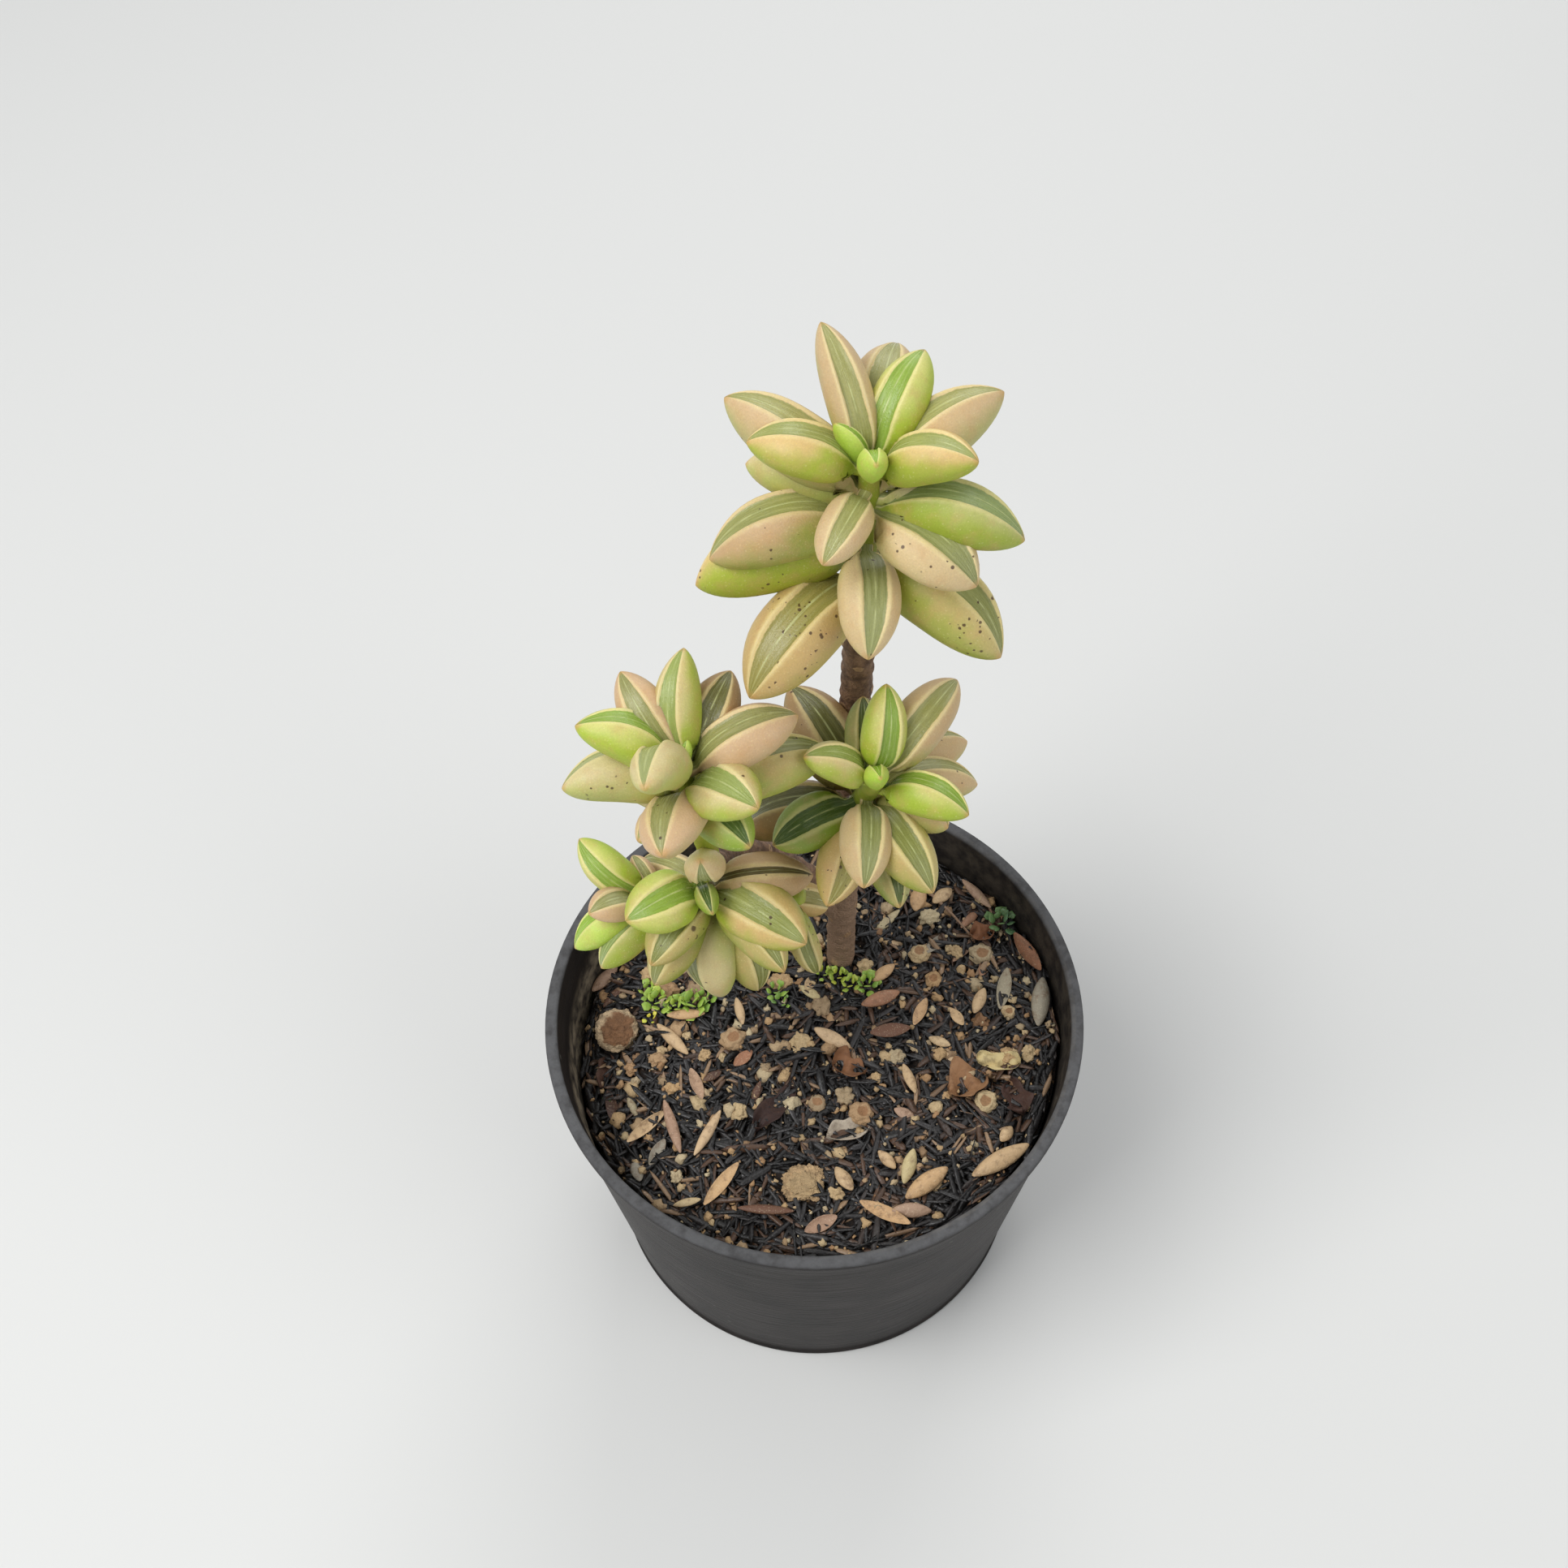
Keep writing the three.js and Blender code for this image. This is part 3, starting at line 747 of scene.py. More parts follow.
pebble_rows = [
    (1.4, 4.2, 3.0, 0), (-11.6, -0.4, 3.7, 1), (0.4, -10.7, 2.6, 1), (6.5, -12.6, 3.5, 1),
    (4.3, -9.6, 2.7, 0), (23.7, -11.6, 3.2, 1), (11.7, -4.2, 2.2, 0), (17.6, -3.9, 1.9, 0),
    (-10.4, -12.0, 2.5, 0), (24.6, 12.0, 3.6, 1), (15.6, 12.3, 3.2, 1), (17.5, 8.3, 2.4, 1),
    (27.9, 2.3, 2.1, 1), (23.9, 1.2, 2.3, 0), (2.8, -24.4, 1.9, 0), (27.4, -4.5, 2.2, 0),
    (30.2, -4.3, 2.1, 0), (-20.0, -7.9, 2.0, 0), (-2.0, -1.4, 2.9, 0), (-18.3, 0.5, 1.3, 0),
    (8.8, -7.2, 1.5, 0), (-3.6, -11.6, 1.5, 0), (-6.8, -5.1, 1.5, 0), (18.4, -10.5, 1.3, 0),
    (14.2, -2.3, 1.2, 0), (-15.6, -2.8, 1.7, 0), (-12.9, -3.2, 1.5, 0), (-25.4, -2.7, 1.4, 0),
    (-26.2, -4.4, 1.8, 0), (-22.4, -3.6, 2.4, 0), (-19.0, -21.2, 1.7, 0), (-21.3, 7.9, 3.4, 0),
    (-17.4, 7.2, 2.9, 0), (-4.6, 8.5, 3.4, 0), (17.4, 18.5, 3.0, 0), (21.0, 12.5, 2.0, 0),
    (-24.0, 10.5, 2.6, 0), (7.8, 10.6, 2.4, 0),
]
stones = Scatter()
pit_layer = stones.bm.verts.layers.float.new("pit")
for number, (x, y, width, pit) in enumerate(pebble_rows):
    first = len(stones.bm.verts)
    size = (width, width * chance.uniform(0.8, 1.0), width * chance.uniform(0.6, 0.75))
    tilt = (chance.gauss(0, 8), chance.gauss(0, 8))
    stones.lay(pebble, lying(x, y, mat_thickness, chance.uniform(0, 360), *tilt, size),
               lumpy(number, 0.5 - 0.25 * pit, 0.2 * pit), chance.random())
    for vertex, source in zip(stones.bm.verts[first:], pebble.vertices):
        off_middle = 2 * math.hypot(source.co.x, source.co.y) / pit_reach
        vertex[pit_layer] = pit * max(0.0, 1 - off_middle ** 4) if source.co.z > 0 else 0.0

crumb, grit = round_bit(1), round_bit(2)
grit_count = 950
for number in range(grit_count):
    x, y = random_spot()
    width = min(2.4, chance.lognormvariate(-0.4, 0.55))
    size = (width, width * chance.uniform(0.65, 1.0), width * chance.uniform(0.6, 0.9))
    stones.lay(crumb if width < 0.9 else grit,
               lying(x, y, mat_thickness, chance.uniform(0, 360), 0, 0, size),
               lumpy(number + 50, 0.75), chance.random())


def stone_material():
    """Ochre grit and stubs, with a darker core where there is a pit."""
    skin = Skin("grit", 0.75)
    skin.tones((0.0, 0.78, 0.69, 0.53), (0.3, 0.74, 0.61, 0.44), (0.55, 0.66, 0.51, 0.36),
               (0.8, 0.80, 0.74, 0.60), (1.0, 0.52, 0.38, 0.26))
    blots = skin.cloud(0.9, 4.0, 0.65)
    skin.coat(blots.step(0.5, 0.75, 0.0, 0.6), 0.45, 0.32, 0.20)
    core = skin.reading("pit") * blots.step(0.2, 0.5, 0.6, 1.0)
    skin.coat(core.step(0.35, 0.7, 0.0, 0.85), 0.58, 0.42, 0.28)
    return skin.finish(skin.grained(0.25, 0.7) + blots, 0.15)


keep("grit_and_pebbles", stones.bm, stone_material(), "soil")
print(stones.count, "stones")

# %% [markdown]
# The two larger loose bits are a rounded nugget with a rubbed brown face and a flat, knobbly
# disc. Both start as an icosphere at the CAD solid's own box and are pushed about by noise.

# %% The nugget and the disc of bark
def bark_bit(name, node, squareness, rough, dent, rind, core):
    """An icosphere in the box of a CAD node, made lumpy, with its face dented."""
    low, high = (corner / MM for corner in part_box(node))
    middle = (low + high) / 2
    half = (high - low) / 2
    face = Vector((0.15, -0.35, 0.92)).normalized()
    bm = bmesh.new()
    bmesh.ops.create_icosphere(bm, subdivisions=6, radius=1.0)
    facing = bm.verts.layers.float.new("facing")
    for vertex in bm.verts:
        way = vertex.co.normalized()
        lumps = noise.fractal(way * 2.2 + middle, 1.0, 2.0, 4)
        crumbs = noise.fractal(way * 9.0 + middle, 0.8, 2.0, 3)
        toward = way.dot(face)
        hollow = dent * max(0.0, min(1.0, (toward - 0.62) / 0.25))
        push = 1 - rough + rough * (0.75 * lumps + 0.3 * crumbs) - hollow
        boxed = Vector([math.copysign(abs(c) ** squareness, c) for c in way])
        vertex.co = middle + Vector([b * h * min(1.02, push) for b, h in zip(boxed, half)])
        vertex[facing] = toward + 0.12 * lumps
    bmesh.ops.recalc_face_normals(bm, faces=bm.faces)
    keep(name, bm, bark_material(name, rind, core), "bark", node)


def bark_material(name, rind, core):
    skin = Skin(name, 0.85)
    lumps = skin.cloud(1.0, 5.0, 0.65)
    skin.base(lumps.step(0.35, 0.7), rind, (c * 0.72 for c in rind))
    rubbed = blend(lumps, paint(*core), paint(*(c * 0.5 for c in core)))
    skin.color = blend(skin.reading("facing").step(0.55, 0.72), skin.color, rubbed)
    skin.coat(skin.specks(0.7, 0.35, 0.3) * 0.45, 0.36, 0.24, 0.15)
    return skin.finish(skin.grained(0.22, 0.5) + lumps, 0.25)


bark_bit("nugget", "bark_nugget", 0.9, 0.14, 0.16, (0.86, 0.75, 0.60), (0.60, 0.43, 0.29))
bark_bit("disc", "bark_disc", 0.75, 0.24, 0.02, (0.80, 0.67, 0.50), (0.88, 0.75, 0.56))

# %% [markdown]
# Dead leaves, thin twigs and a few weeds finish the topping. A dead leaf is a small grid,
# curled by a formula and given a thickness with the solidify operator. A weed is a cushion
# of tiny lobed leaves, each a flattened ball. Each leaflet turns on by the golden angle.

# %% Dead leaves
leaf_rows = [
    (21.3, -8.9, 6.0, 4.6, 30, 0.75), (27.9, -11.2, 5.4, 3.8, -75, 0.25),
    (-5.6, -11.7, 8.6, 2.6, 49, 0.2), (25.9, -5.5, 6.2, 2.8, -9, 1.0), (4.9, -5.6, 5.0, 4.2, -20, 0.62),
    (24.8, 15.2, 3.6, 3.0, 10, 0.55), (4.6, -15.2, 6.3, 2.6, 14, 0.9), (-30.0, -4.0, 5.0, 2.4, 75, 0.3),
]
dead = Scatter()
for number, (x, y, length, width, turn, tone) in enumerate(leaf_rows):
    sheet = bmesh.new()
    bmesh.ops.create_grid(sheet, x_segments=16, y_segments=10, size=0.5)
    for vertex in sheet.verts:
        u, v = vertex.co.x * 2, vertex.co.y * 2
        half = 0.5 * (1 - abs(u) ** 2.4) ** 0.6 + 0.03
        wave = noise.noise(Vector((u * 1.6, v * 1.4, number * 4.1)))
        vertex.co = Vector((u * 0.5 * length, v * half * width * (1 + 0.7 * wave),
                            0.3 * width * v * v + 0.4 * wave * width + 0.2 * length * u * u * wave))
    bmesh.ops.solidify(sheet, geom=sheet.faces, thickness=0.16)
    bmesh.ops.recalc_face_normals(sheet, faces=sheet.faces)
    place = lying(x, y, 0.9, turn, chance.gauss(0, 5), chance.gauss(0, 6), (1, 1, 1))
    dead.lay(to_mesh("dead leaf", sheet), place, tone=tone)


def dead_leaf_material():
    skin = Skin("dead leaf", 0.7)
    skin.tones((0.2, 0.21, 0.13, 0.11), (0.35, 0.36, 0.24, 0.18), (0.55, 0.52, 0.34, 0.22),
               (0.75, 0.60, 0.44, 0.30), (0.9, 0.72, 0.67, 0.60), (1.0, 0.84, 0.76, 0.55))
    blots = skin.cloud(1.2, 4.0, 0.6)
    skin.coat(blots.step(0.45, 0.75, 0.0, 0.5), 0.30, 0.19, 0.12)
    return skin.finish(blots, 0.25)


keep("dead_leaves", dead.bm, dead_leaf_material(), "soil")

# %% Weeds
golden_turn = 137.5
weed_rows = [
    (-24.0, 7.6, 1.8, 9, 0.6), (-22.4, 5.8, 2.2, 14, 0.65), (-19.9, 5.0, 1.9, 12, 0.6),
    (-17.6, 5.4, 2.3, 16, 0.5), (-15.8, 6.4, 1.8, 10, 0.45), (-23.4, 2.9, 1.2, 5, 1.0),
    (-5.4, 7.0, 1.7, 9, 0.45), (-4.6, 5.2, 1.5, 7, 0.35), (1.6, 9.6, 1.5, 9, 0.7),
    (3.6, 8.8, 1.6, 10, 0.75), (5.4, 7.6, 1.5, 9, 0.7), (7.8, 7.6, 1.9, 12, 0.5),
    (27.9, 17.4, 2.4, 12, 0.05), (-29.6, -8.4, 0.9, 2, 0.3),
]
bm = bmesh.new()
bmesh.ops.create_uvsphere(bm, u_segments=8, v_segments=6, radius=0.5)
leaflet = to_mesh("leaflet", bm)


def lobe(co):
    """A round leaflet with a notch at its outer end, cupped a little."""
    notch = 0.14 * max(0.0, 1 - abs(co.y) / 0.2) if co.x > 0.2 else 0.0
    return Vector((co.x + 0.5 - notch, co.y, co.z + 0.45 * (co.x * co.x + co.y * co.y)))


weeds = Scatter()
for x, y, reach, leaflets, tone in weed_rows:
    for number in range(leaflets):
        share = (number + 0.5) / leaflets
        turn = number * golden_turn + chance.uniform(-15, 15)
        out = reach * 0.62 * math.sqrt(share)
        angle = math.radians(turn)
        width = reach * chance.uniform(0.5, 0.78)
        rise = -62 * (1 - share) - 8
        size = (width, width * chance.uniform(0.8, 1.05), width * 0.22)
        up = 0.9 + 0.45 * reach * (1 - share)
        place = lying(x + out * math.cos(angle), y + out * math.sin(angle), up, turn, rise,
                      chance.gauss(0, 12), size)
        weeds.lay(leaflet, place, lobe, tone + chance.uniform(-0.12, 0.12))


def weed_material():
    skin = Skin("weed", 0.4, Subsurface_Weight=0.15, Subsurface_Scale=0.0008)
    skin.tones((0.0, 0.40, 0.53, 0.37), (0.2, 0.45, 0.58, 0.34), (0.45, 0.54, 0.68, 0.29),
               (0.7, 0.68, 0.77, 0.33), (1.0, 0.87, 0.82, 0.30))
    return skin.finish(skin.grained(0.4, 0.6), 0.08)


keep("weeds", weeds.bm, weed_material(), "soil")

# %% [markdown]
# Trunk, branches, shoots and the twig are all rods along a smooth line. The line runs through
# a few given points as a centripetal Catmull-Rom curve, the same as in the CAD model. A rod
# starts as a circle, which is extruded step by step along the line, each new ring moved,
# turned and scaled into place.

# %% Rods along smooth lines
def smooth_line(points, steps):
    """Points of a centripetal Catmull-Rom curve through the given ones."""
    given = [Vector(p) for p in points]
    first = given[0] + (given[0] - given[1])
    last = given[-1] + (given[-1] - given[-2])
    padded = [first, *given, last]
    line = []
    spans = len(given) - 1
    for number in range(steps + 1):
        share = number / steps * spans
        span = min(int(share), spans - 1)
        line.append(between(padded[span:span + 4], share - span))
    return line


def between(four, share):
    """The point at a share of the way from the second to the third of four points."""
    knots = [0.0]
    for one, other in zip(four, four[1:]):
        knots.append(knots[-1] + (other - one).length ** 0.5)
    at = knots[1] + (knots[2] - knots[1]) * share
    sides = [four[i].lerp(four[i + 1], (at - knots[i]) / (knots[i + 1] - knots[i])) for i in range(3)]
    chords = [sides[i].lerp(sides[i + 1], (at - knots[i]) / (knots[i + 2] - knots[i])) for i in range(2)]
    return chords[0].lerp(chords[1], share)


def rod(bm, line, radius_at, sides):
    """Extrudes a circle along the line. radius_at takes the length so far and the angle."""
    reach = [0.0]
    for one, other in zip(line, line[1:]):
        reach.append(reach[-1] + (other - one).length)
    ring = bmesh.ops.create_circle(bm, cap_ends=True, segments=sides, radius=1.0)["verts"]
    edges = list({edge for vertex in ring for edge in vertex.link_edges})
    rings = [ring]
    for _ in line[1:]:
        made = bmesh.ops.extrude_edge_only(bm, edges=edges)["geom"]
        ring = [item for item in made if isinstance(item, bmesh.types.BMVert)]
        edges = [item for item in made if isinstance(item, bmesh.types.BMEdge)]
        order = {edge_end(vertex, rings[-1]): vertex for vertex in ring}
        ring = [order[vertex] for vertex in rings[-1]]
        rings.append(ring)
    bmesh.ops.contextual_create(bm, geom=edges)
    for number, ring in enumerate(rings):
        before = line[max(0, number - 1)]
        after = line[min(len(line) - 1, number + 1)]
        along = (after - before).normalized()
        across = along.cross(Vector((0, -1, 0))).normalized()
        over = along.cross(across)
        for side, vertex in enumerate(ring):
            angle = math.tau * side / sides
            radius = radius_at(reach[number], angle, reach[-1])
            vertex.co = line[number] + (across * math.cos(angle) + over * math.sin(angle)) * radius
    return rings, reach


def edge_end(vertex, ring):
    """The vertex of the last ring that a new vertex was extruded from."""
    known = set(ring)
    others = (edge.other_vert(vertex) for edge in vertex.link_edges)
    return next(other for other in others if other in known)


print("a short line:", [tuple(p) for p in smooth_line([(0, 0, 0), (0, 0, 2)], 2)])


# %% [markdown]
# The woody stem is brown and knotted. Where old leaves fell off it keeps pale oval scars, and
# a knot swells every 2.3 mm. Both are in the mesh: the radius swells at each knot, and at
# each scar a small round pad stands out, whose mask colours it.

# %% The woody stem
trunk_radius = 1.85
branch_radius = 1.5
knot_spacing = 2.3
knot_swell = 0.105
root_depth = 14
stem_sides = 26
stem_lines = [
    ([(4, 12.4, soil_level - root_depth), (4.2, 12.4, 60), (4.8, 12.3, 82), (5.5, 12.2, 113),
      (5.79, 11.37, 127.6)], trunk_radius * 1.05, trunk_radius * 0.95),
    ([(4.3, 12.4, 58), (-2, 11, 72), (-8, 8, 81.5), (-11.3, 2.4, 88), (-12, -0.6, 91.2),
      (-12.17, -1.75, 93.4)], branch_radius * 1.1, branch_radius * 0.9),
    ([(-1.5, 11, 71), (-5.8, 7.2, 75), (-9.6, 1.9, 79.4), (-10.48, 0.41, 82.35)],
     branch_radius, branch_radius * 0.85),
    ([(5, 12.3, 82), (5.2, 7.5, 91), (5.52, 3.8, 97.55)], branch_radius * 1.1, branch_radius * 0.9),
]


def stem_mesh():
    bm = bmesh.new()
    scar_layer = bm.verts.layers.float.new("scar")
    for number, (points, first, last) in enumerate(stem_lines):
        line = smooth_line(points, 40 * (len(points) - 1))
        length = sum((b - a).length for a, b in zip(line, line[1:]))
        scars = [((k + 0.5 + 0.3 * math.sin(k * 5.1)) * knot_spacing,
                  (k * golden_turn + 60 * number) % 360) for k in range(int(length / knot_spacing))]

        def scar_at(reach, angle):
            """1 in the middle of a scar, and 0 where there is none."""
            best = 0.0
            for middle, turn in scars:
                side = (math.degrees(angle) - turn + 180) % 360 - 180
                off = math.hypot((reach - middle) / 0.75, math.radians(side) * first / 0.95)
                best = max(best, 1 - off)
            return best

        def radius_at(reach, angle, whole):
            taper = first + (last - first) * reach / whole
            knots = 1 + knot_swell * math.cos(math.pi * reach / knot_spacing) ** 4
            spot = Vector((math.cos(angle) * 1.5, math.sin(angle) * 1.5, reach * 0.9 + 20 * number))
            rough = 1 + 0.05 * noise.fractal(spot, 1.0, 2.0, 4)
            pad = 0.22 * min(1.0, scar_at(reach, angle) * 2.5)
            closing = min(1.0, 0.7 + 0.35 * (whole - reach))
            return closing * (taper * knots * rough * 0.99 + pad)

        rings, reach = rod(bm, line, radius_at, stem_sides)
        for ring, so_far in zip(rings, reach):
            for side, vertex in enumerate(ring):
                vertex[scar_layer] = scar_at(so_far, math.tau * side / stem_sides)
    bmesh.ops.recalc_face_normals(bm, faces=bm.faces)
    return bm


def stem_material():
    skin = Skin("stem bark", 0.7)
    coarse = skin.cloud(1.5, 5.0, 0.6)
    skin.base(coarse.step(0.3, 0.7), (0.36, 0.26, 0.19), (0.60, 0.47, 0.37))
    height = put(skin.tree, "SeparateXYZ", {0: skin.place}, "Z")
    skin.coat(height.step(76.0, 60.0, 0.0, 0.75), 0.67, 0.55, 0.45)
    scar = skin.reading("scar")
    skin.coat((coarse * 0.25 + scar).step(0.3, 0.45), 0.70, 0.56, 0.42)
    skin.coat(scar.step(0.62, 0.8), 0.36, 0.24, 0.17)
    return skin.finish(skin.grained(0.3, 0.7) + coarse, 0.4)


keep("woody_stem", stem_mesh(), stem_material(), "stem", "stem")

# %% The twig and rootlets on the soil
def twig_mesh():
    bm = bmesh.new()
    bm.verts.layers.float.new("scar")
    routes = [([(17.2, 22.9), (20.5, 18.5), (23.6, 14.6)], 0.26),
              ([(26.2, 20.5), (26.6, 17.9), (26.0, 15.6)], 0.2),
              ([(-9.0, 14.0), (-14.0, 16.5), (-19.0, 15.0)], 0.22)]
    for route, thick in routes:
        points = [(x, y, soil_height(x, y) + lift) for (x, y), lift in zip(route, (1.0, 1.5, 0.9))]
        line = smooth_line(points, 24)
        rod(bm, line, lambda reach, angle, whole: thick * (1 - 0.4 * reach / whole), 8)
    bmesh.ops.recalc_face_normals(bm, faces=bm.faces)
    return bm


keep("twigs", twig_mesh(), bpy.data.materials["stem bark"], "bark")

# %% [markdown]
# The leaves are what the plant is known for. Each is a thick blade folded up along its midrib,
# like hands in prayer. The fold leaves a long flat window on top, green and glossy, between
# two pale ridges. The sides bulge and meet below in a keel. So the section round a leaf is
# given by one number: 0 in the middle of the window, 1 on a ridge, 2 where the leaf is widest,
# and 3 on the keel. A sphere's points have just such an angle, and a place from pole to pole,
# so each leaf is a sphere whose points are moved to that section along the leaf's length.
#
# The same two numbers are kept in attributes, so that colours can follow the leaf.

# %% The form of one leaf
stalk_length = 1.8
stalk_radius = 0.75
stalk_share = 0.12
leaf_depth = 0.47
leaf_width = 0.45
leaf_arch = 0.06
leaf_sides = 36
leaf_rings = 26
widest_share = 0.42
crest_share = 0.45
keel_share = 0.4
window_share = 0.45
window_flare = 0.33
bead_height = 0.035
dish_depth = 0.03
leaf_lumps = 0.045
leaf_lean = 0.07


def fullness(share, peak):
    """How full a blade is along its length: blunt at its stalk, pointed at its tip."""
    if share < peak:
        return (1 - (1 - share / peak) ** 2.3) ** 0.55
    return max(0.0, 1 - ((share - peak) / (1 - peak)) ** 2.55) ** 0.76


def arc(start, first, second, end, share):
    """A point of a cubic curve with two handles."""
    rest = 1 - share
    weights = (rest ** 3, 3 * rest * rest * share, 3 * rest * share * share, share ** 3)
    return tuple(sum(w * p[i] for w, p in zip(weights, (start, first, second, end))) for i in (0, 1))


def leaf_section(around, half, top, tall, ridge):
    """Half a leaf's section, as drawn: the point (across, up) for a number from 0 to 3."""
    side = (half, top - 0.46 * tall)
    if around > 2:
        return arc(side, (half, top - 0.74 * tall), (0.42 * half, top - 0.95 * tall),
                   (0, top - tall), around - 2)
    reach = 0.16 if around <= 1 else 0.2
    bead = bead_height * tall * max(0.0, 1 - abs(around - 1) / reach) ** 0.7
    if around <= 1:
        dish = dish_depth * tall
        crown = 0.3 * dish * (1 - around ** 2)
        return ridge * around, top - dish * (1 - around ** 8) + crown + bead
    out, up = arc((ridge, top), (ridge + 0.62 * (half - ridge), top - 0.05 * tall),
                  (half, top - 0.2 * tall), side, around - 1)
    return out, up + bead


def leaf_point(ball, length, width, arch, quirk, opening):
    """Where a point of the unit sphere goes on a leaf that lies along +X, window up."""
    along = length * (1 - max(-1.0, min(1.0, ball.z))) / 2
    turn = math.atan2(ball.y, ball.x) / math.pi * 3
    turn -= 0.09 * math.sin(math.tau * turn)
    around, side = abs(turn), math.copysign(1, turn)
    blade = length - stalk_length
    share = max(0.0, (along - stalk_length) / blade)
    half = 0.5 * width * blade * fullness(share, widest_share)
    top = 0.5 * leaf_depth * blade * fullness(share, crest_share)
    tall = top + 0.5 * leaf_depth * blade * fullness(share, keel_share)
    ridge = opening * (window_share + window_flare * max(0.0, 1 - share / widest_share) ** 2) * half
    out, up = leaf_section(around, half, top, tall, ridge)
    plump = 1 + leaf_lumps * noise.noise(Vector((share * 2.2, side * min(around, 3 - around), quirk)))
    lean = 1 + leaf_lean * math.sin(quirk * 2.3) * side
    out *= plump * lean
    if share < stalk_share:
        mixing = (1 - share / stalk_share) ** 2
        angle = math.pi * around / 3
        out = max(out, stalk_radius * math.sin(angle) * mixing)
        up = max(abs(up), abs(stalk_radius * math.cos(angle)) * mixing) * (1 if around < 1.5 else -1)
    lift = arch * blade * math.sin(math.pi * share)
    drift = 0.02 * blade * math.sin(math.pi * share) * math.sin(quirk * 1.7)
    if along < 0.1:
        # The stalk's end is rounded, not cut square
        out, up = out * 0.6, up * 0.6
    return Vector((along, side * out + drift, up + lift)), share, around


def leaf_place(base, turn, rise, roll):
    """A leaf's stalk sits at base, turned about +Z, raised, and rolled about its own length."""
    t, r, q = (math.radians(angle) for angle in (turn, rise, roll))
    along = Vector((math.cos(t) * math.cos(r), math.sin(t) * math.cos(r), math.sin(r)))
    level = Vector((-math.cos(t) * math.sin(r), -math.sin(t) * math.sin(r), math.cos(r)))
    over = level * math.cos(q) + level.cross(along) * math.sin(q)
    across = over.cross(along)
    place = Matrix((along, across, over)).transposed().to_4x4()
    place.translation = base
    return place


print("a leaf is a ball of", leaf_sides, "by", leaf_rings, "faces")

# %% [markdown]
# Young leaves at the tips are lime, with a vivid green window. Older ones turn cream and tan,
# keep some green along their keel and stalk, and have an olive window. Each look has a colour
# for the side, the keel and the window, and says how far the keel's colour climbs. Each leaf
# names its look, and how many brown specks it has.

# %% The looks of the leaves
looks = {
    "bud": ((0.76, 0.84, 0.38), (0.68, 0.80, 0.27), (0.60, 0.74, 0.26), 0.6),
    "lime": ((0.82, 0.81, 0.47), (0.67, 0.75, 0.23), (0.58, 0.69, 0.28), 0.7),
    "fresh": ((0.82, 0.75, 0.52), (0.66, 0.72, 0.25), (0.62, 0.67, 0.37), 0.66),
    "pale": ((0.82, 0.76, 0.55), (0.71, 0.73, 0.38), (0.66, 0.68, 0.45), 0.38),
    "sunny": ((0.86, 0.74, 0.48), (0.64, 0.69, 0.20), (0.64, 0.66, 0.38), 0.64),
    "tan": ((0.81, 0.70, 0.52), (0.70, 0.69, 0.40), (0.65, 0.64, 0.40), 0.4),
    "cream": ((0.82, 0.72, 0.53), (0.75, 0.71, 0.45), (0.60, 0.61, 0.39), 0.3),
    "pink": ((0.80, 0.67, 0.51), (0.74, 0.67, 0.43), (0.61, 0.60, 0.38), 0.25),
    "blush": ((0.76, 0.63, 0.45), (0.58, 0.61, 0.24), (0.63, 0.63, 0.38), 0.5),
    "olive": ((0.76, 0.69, 0.43), (0.61, 0.64, 0.24), (0.57, 0.58, 0.33), 0.6),
    "green": ((0.74, 0.73, 0.45), (0.60, 0.66, 0.20), (0.58, 0.64, 0.40), 0.8),
    "shade": ((0.66, 0.64, 0.38), (0.48, 0.55, 0.20), (0.36, 0.41, 0.20), 0.6),
    "deep": ((0.60, 0.67, 0.31), (0.53, 0.63, 0.18), (0.33, 0.42, 0.19), 0.7),
    "old": ((0.78, 0.66, 0.42), (0.67, 0.63, 0.28), (0.62, 0.58, 0.32), 0.45),
    "slit": ((0.78, 0.65, 0.47), (0.66, 0.62, 0.34), (0.42, 0.37, 0.21), 0.35),
    "brown": ((0.64, 0.52, 0.35), (0.50, 0.44, 0.22), (0.43, 0.42, 0.24), 0.4),
}

# How far the window of a half closed leaf opens, as a share of an open one's width
slit_opening = 0.36

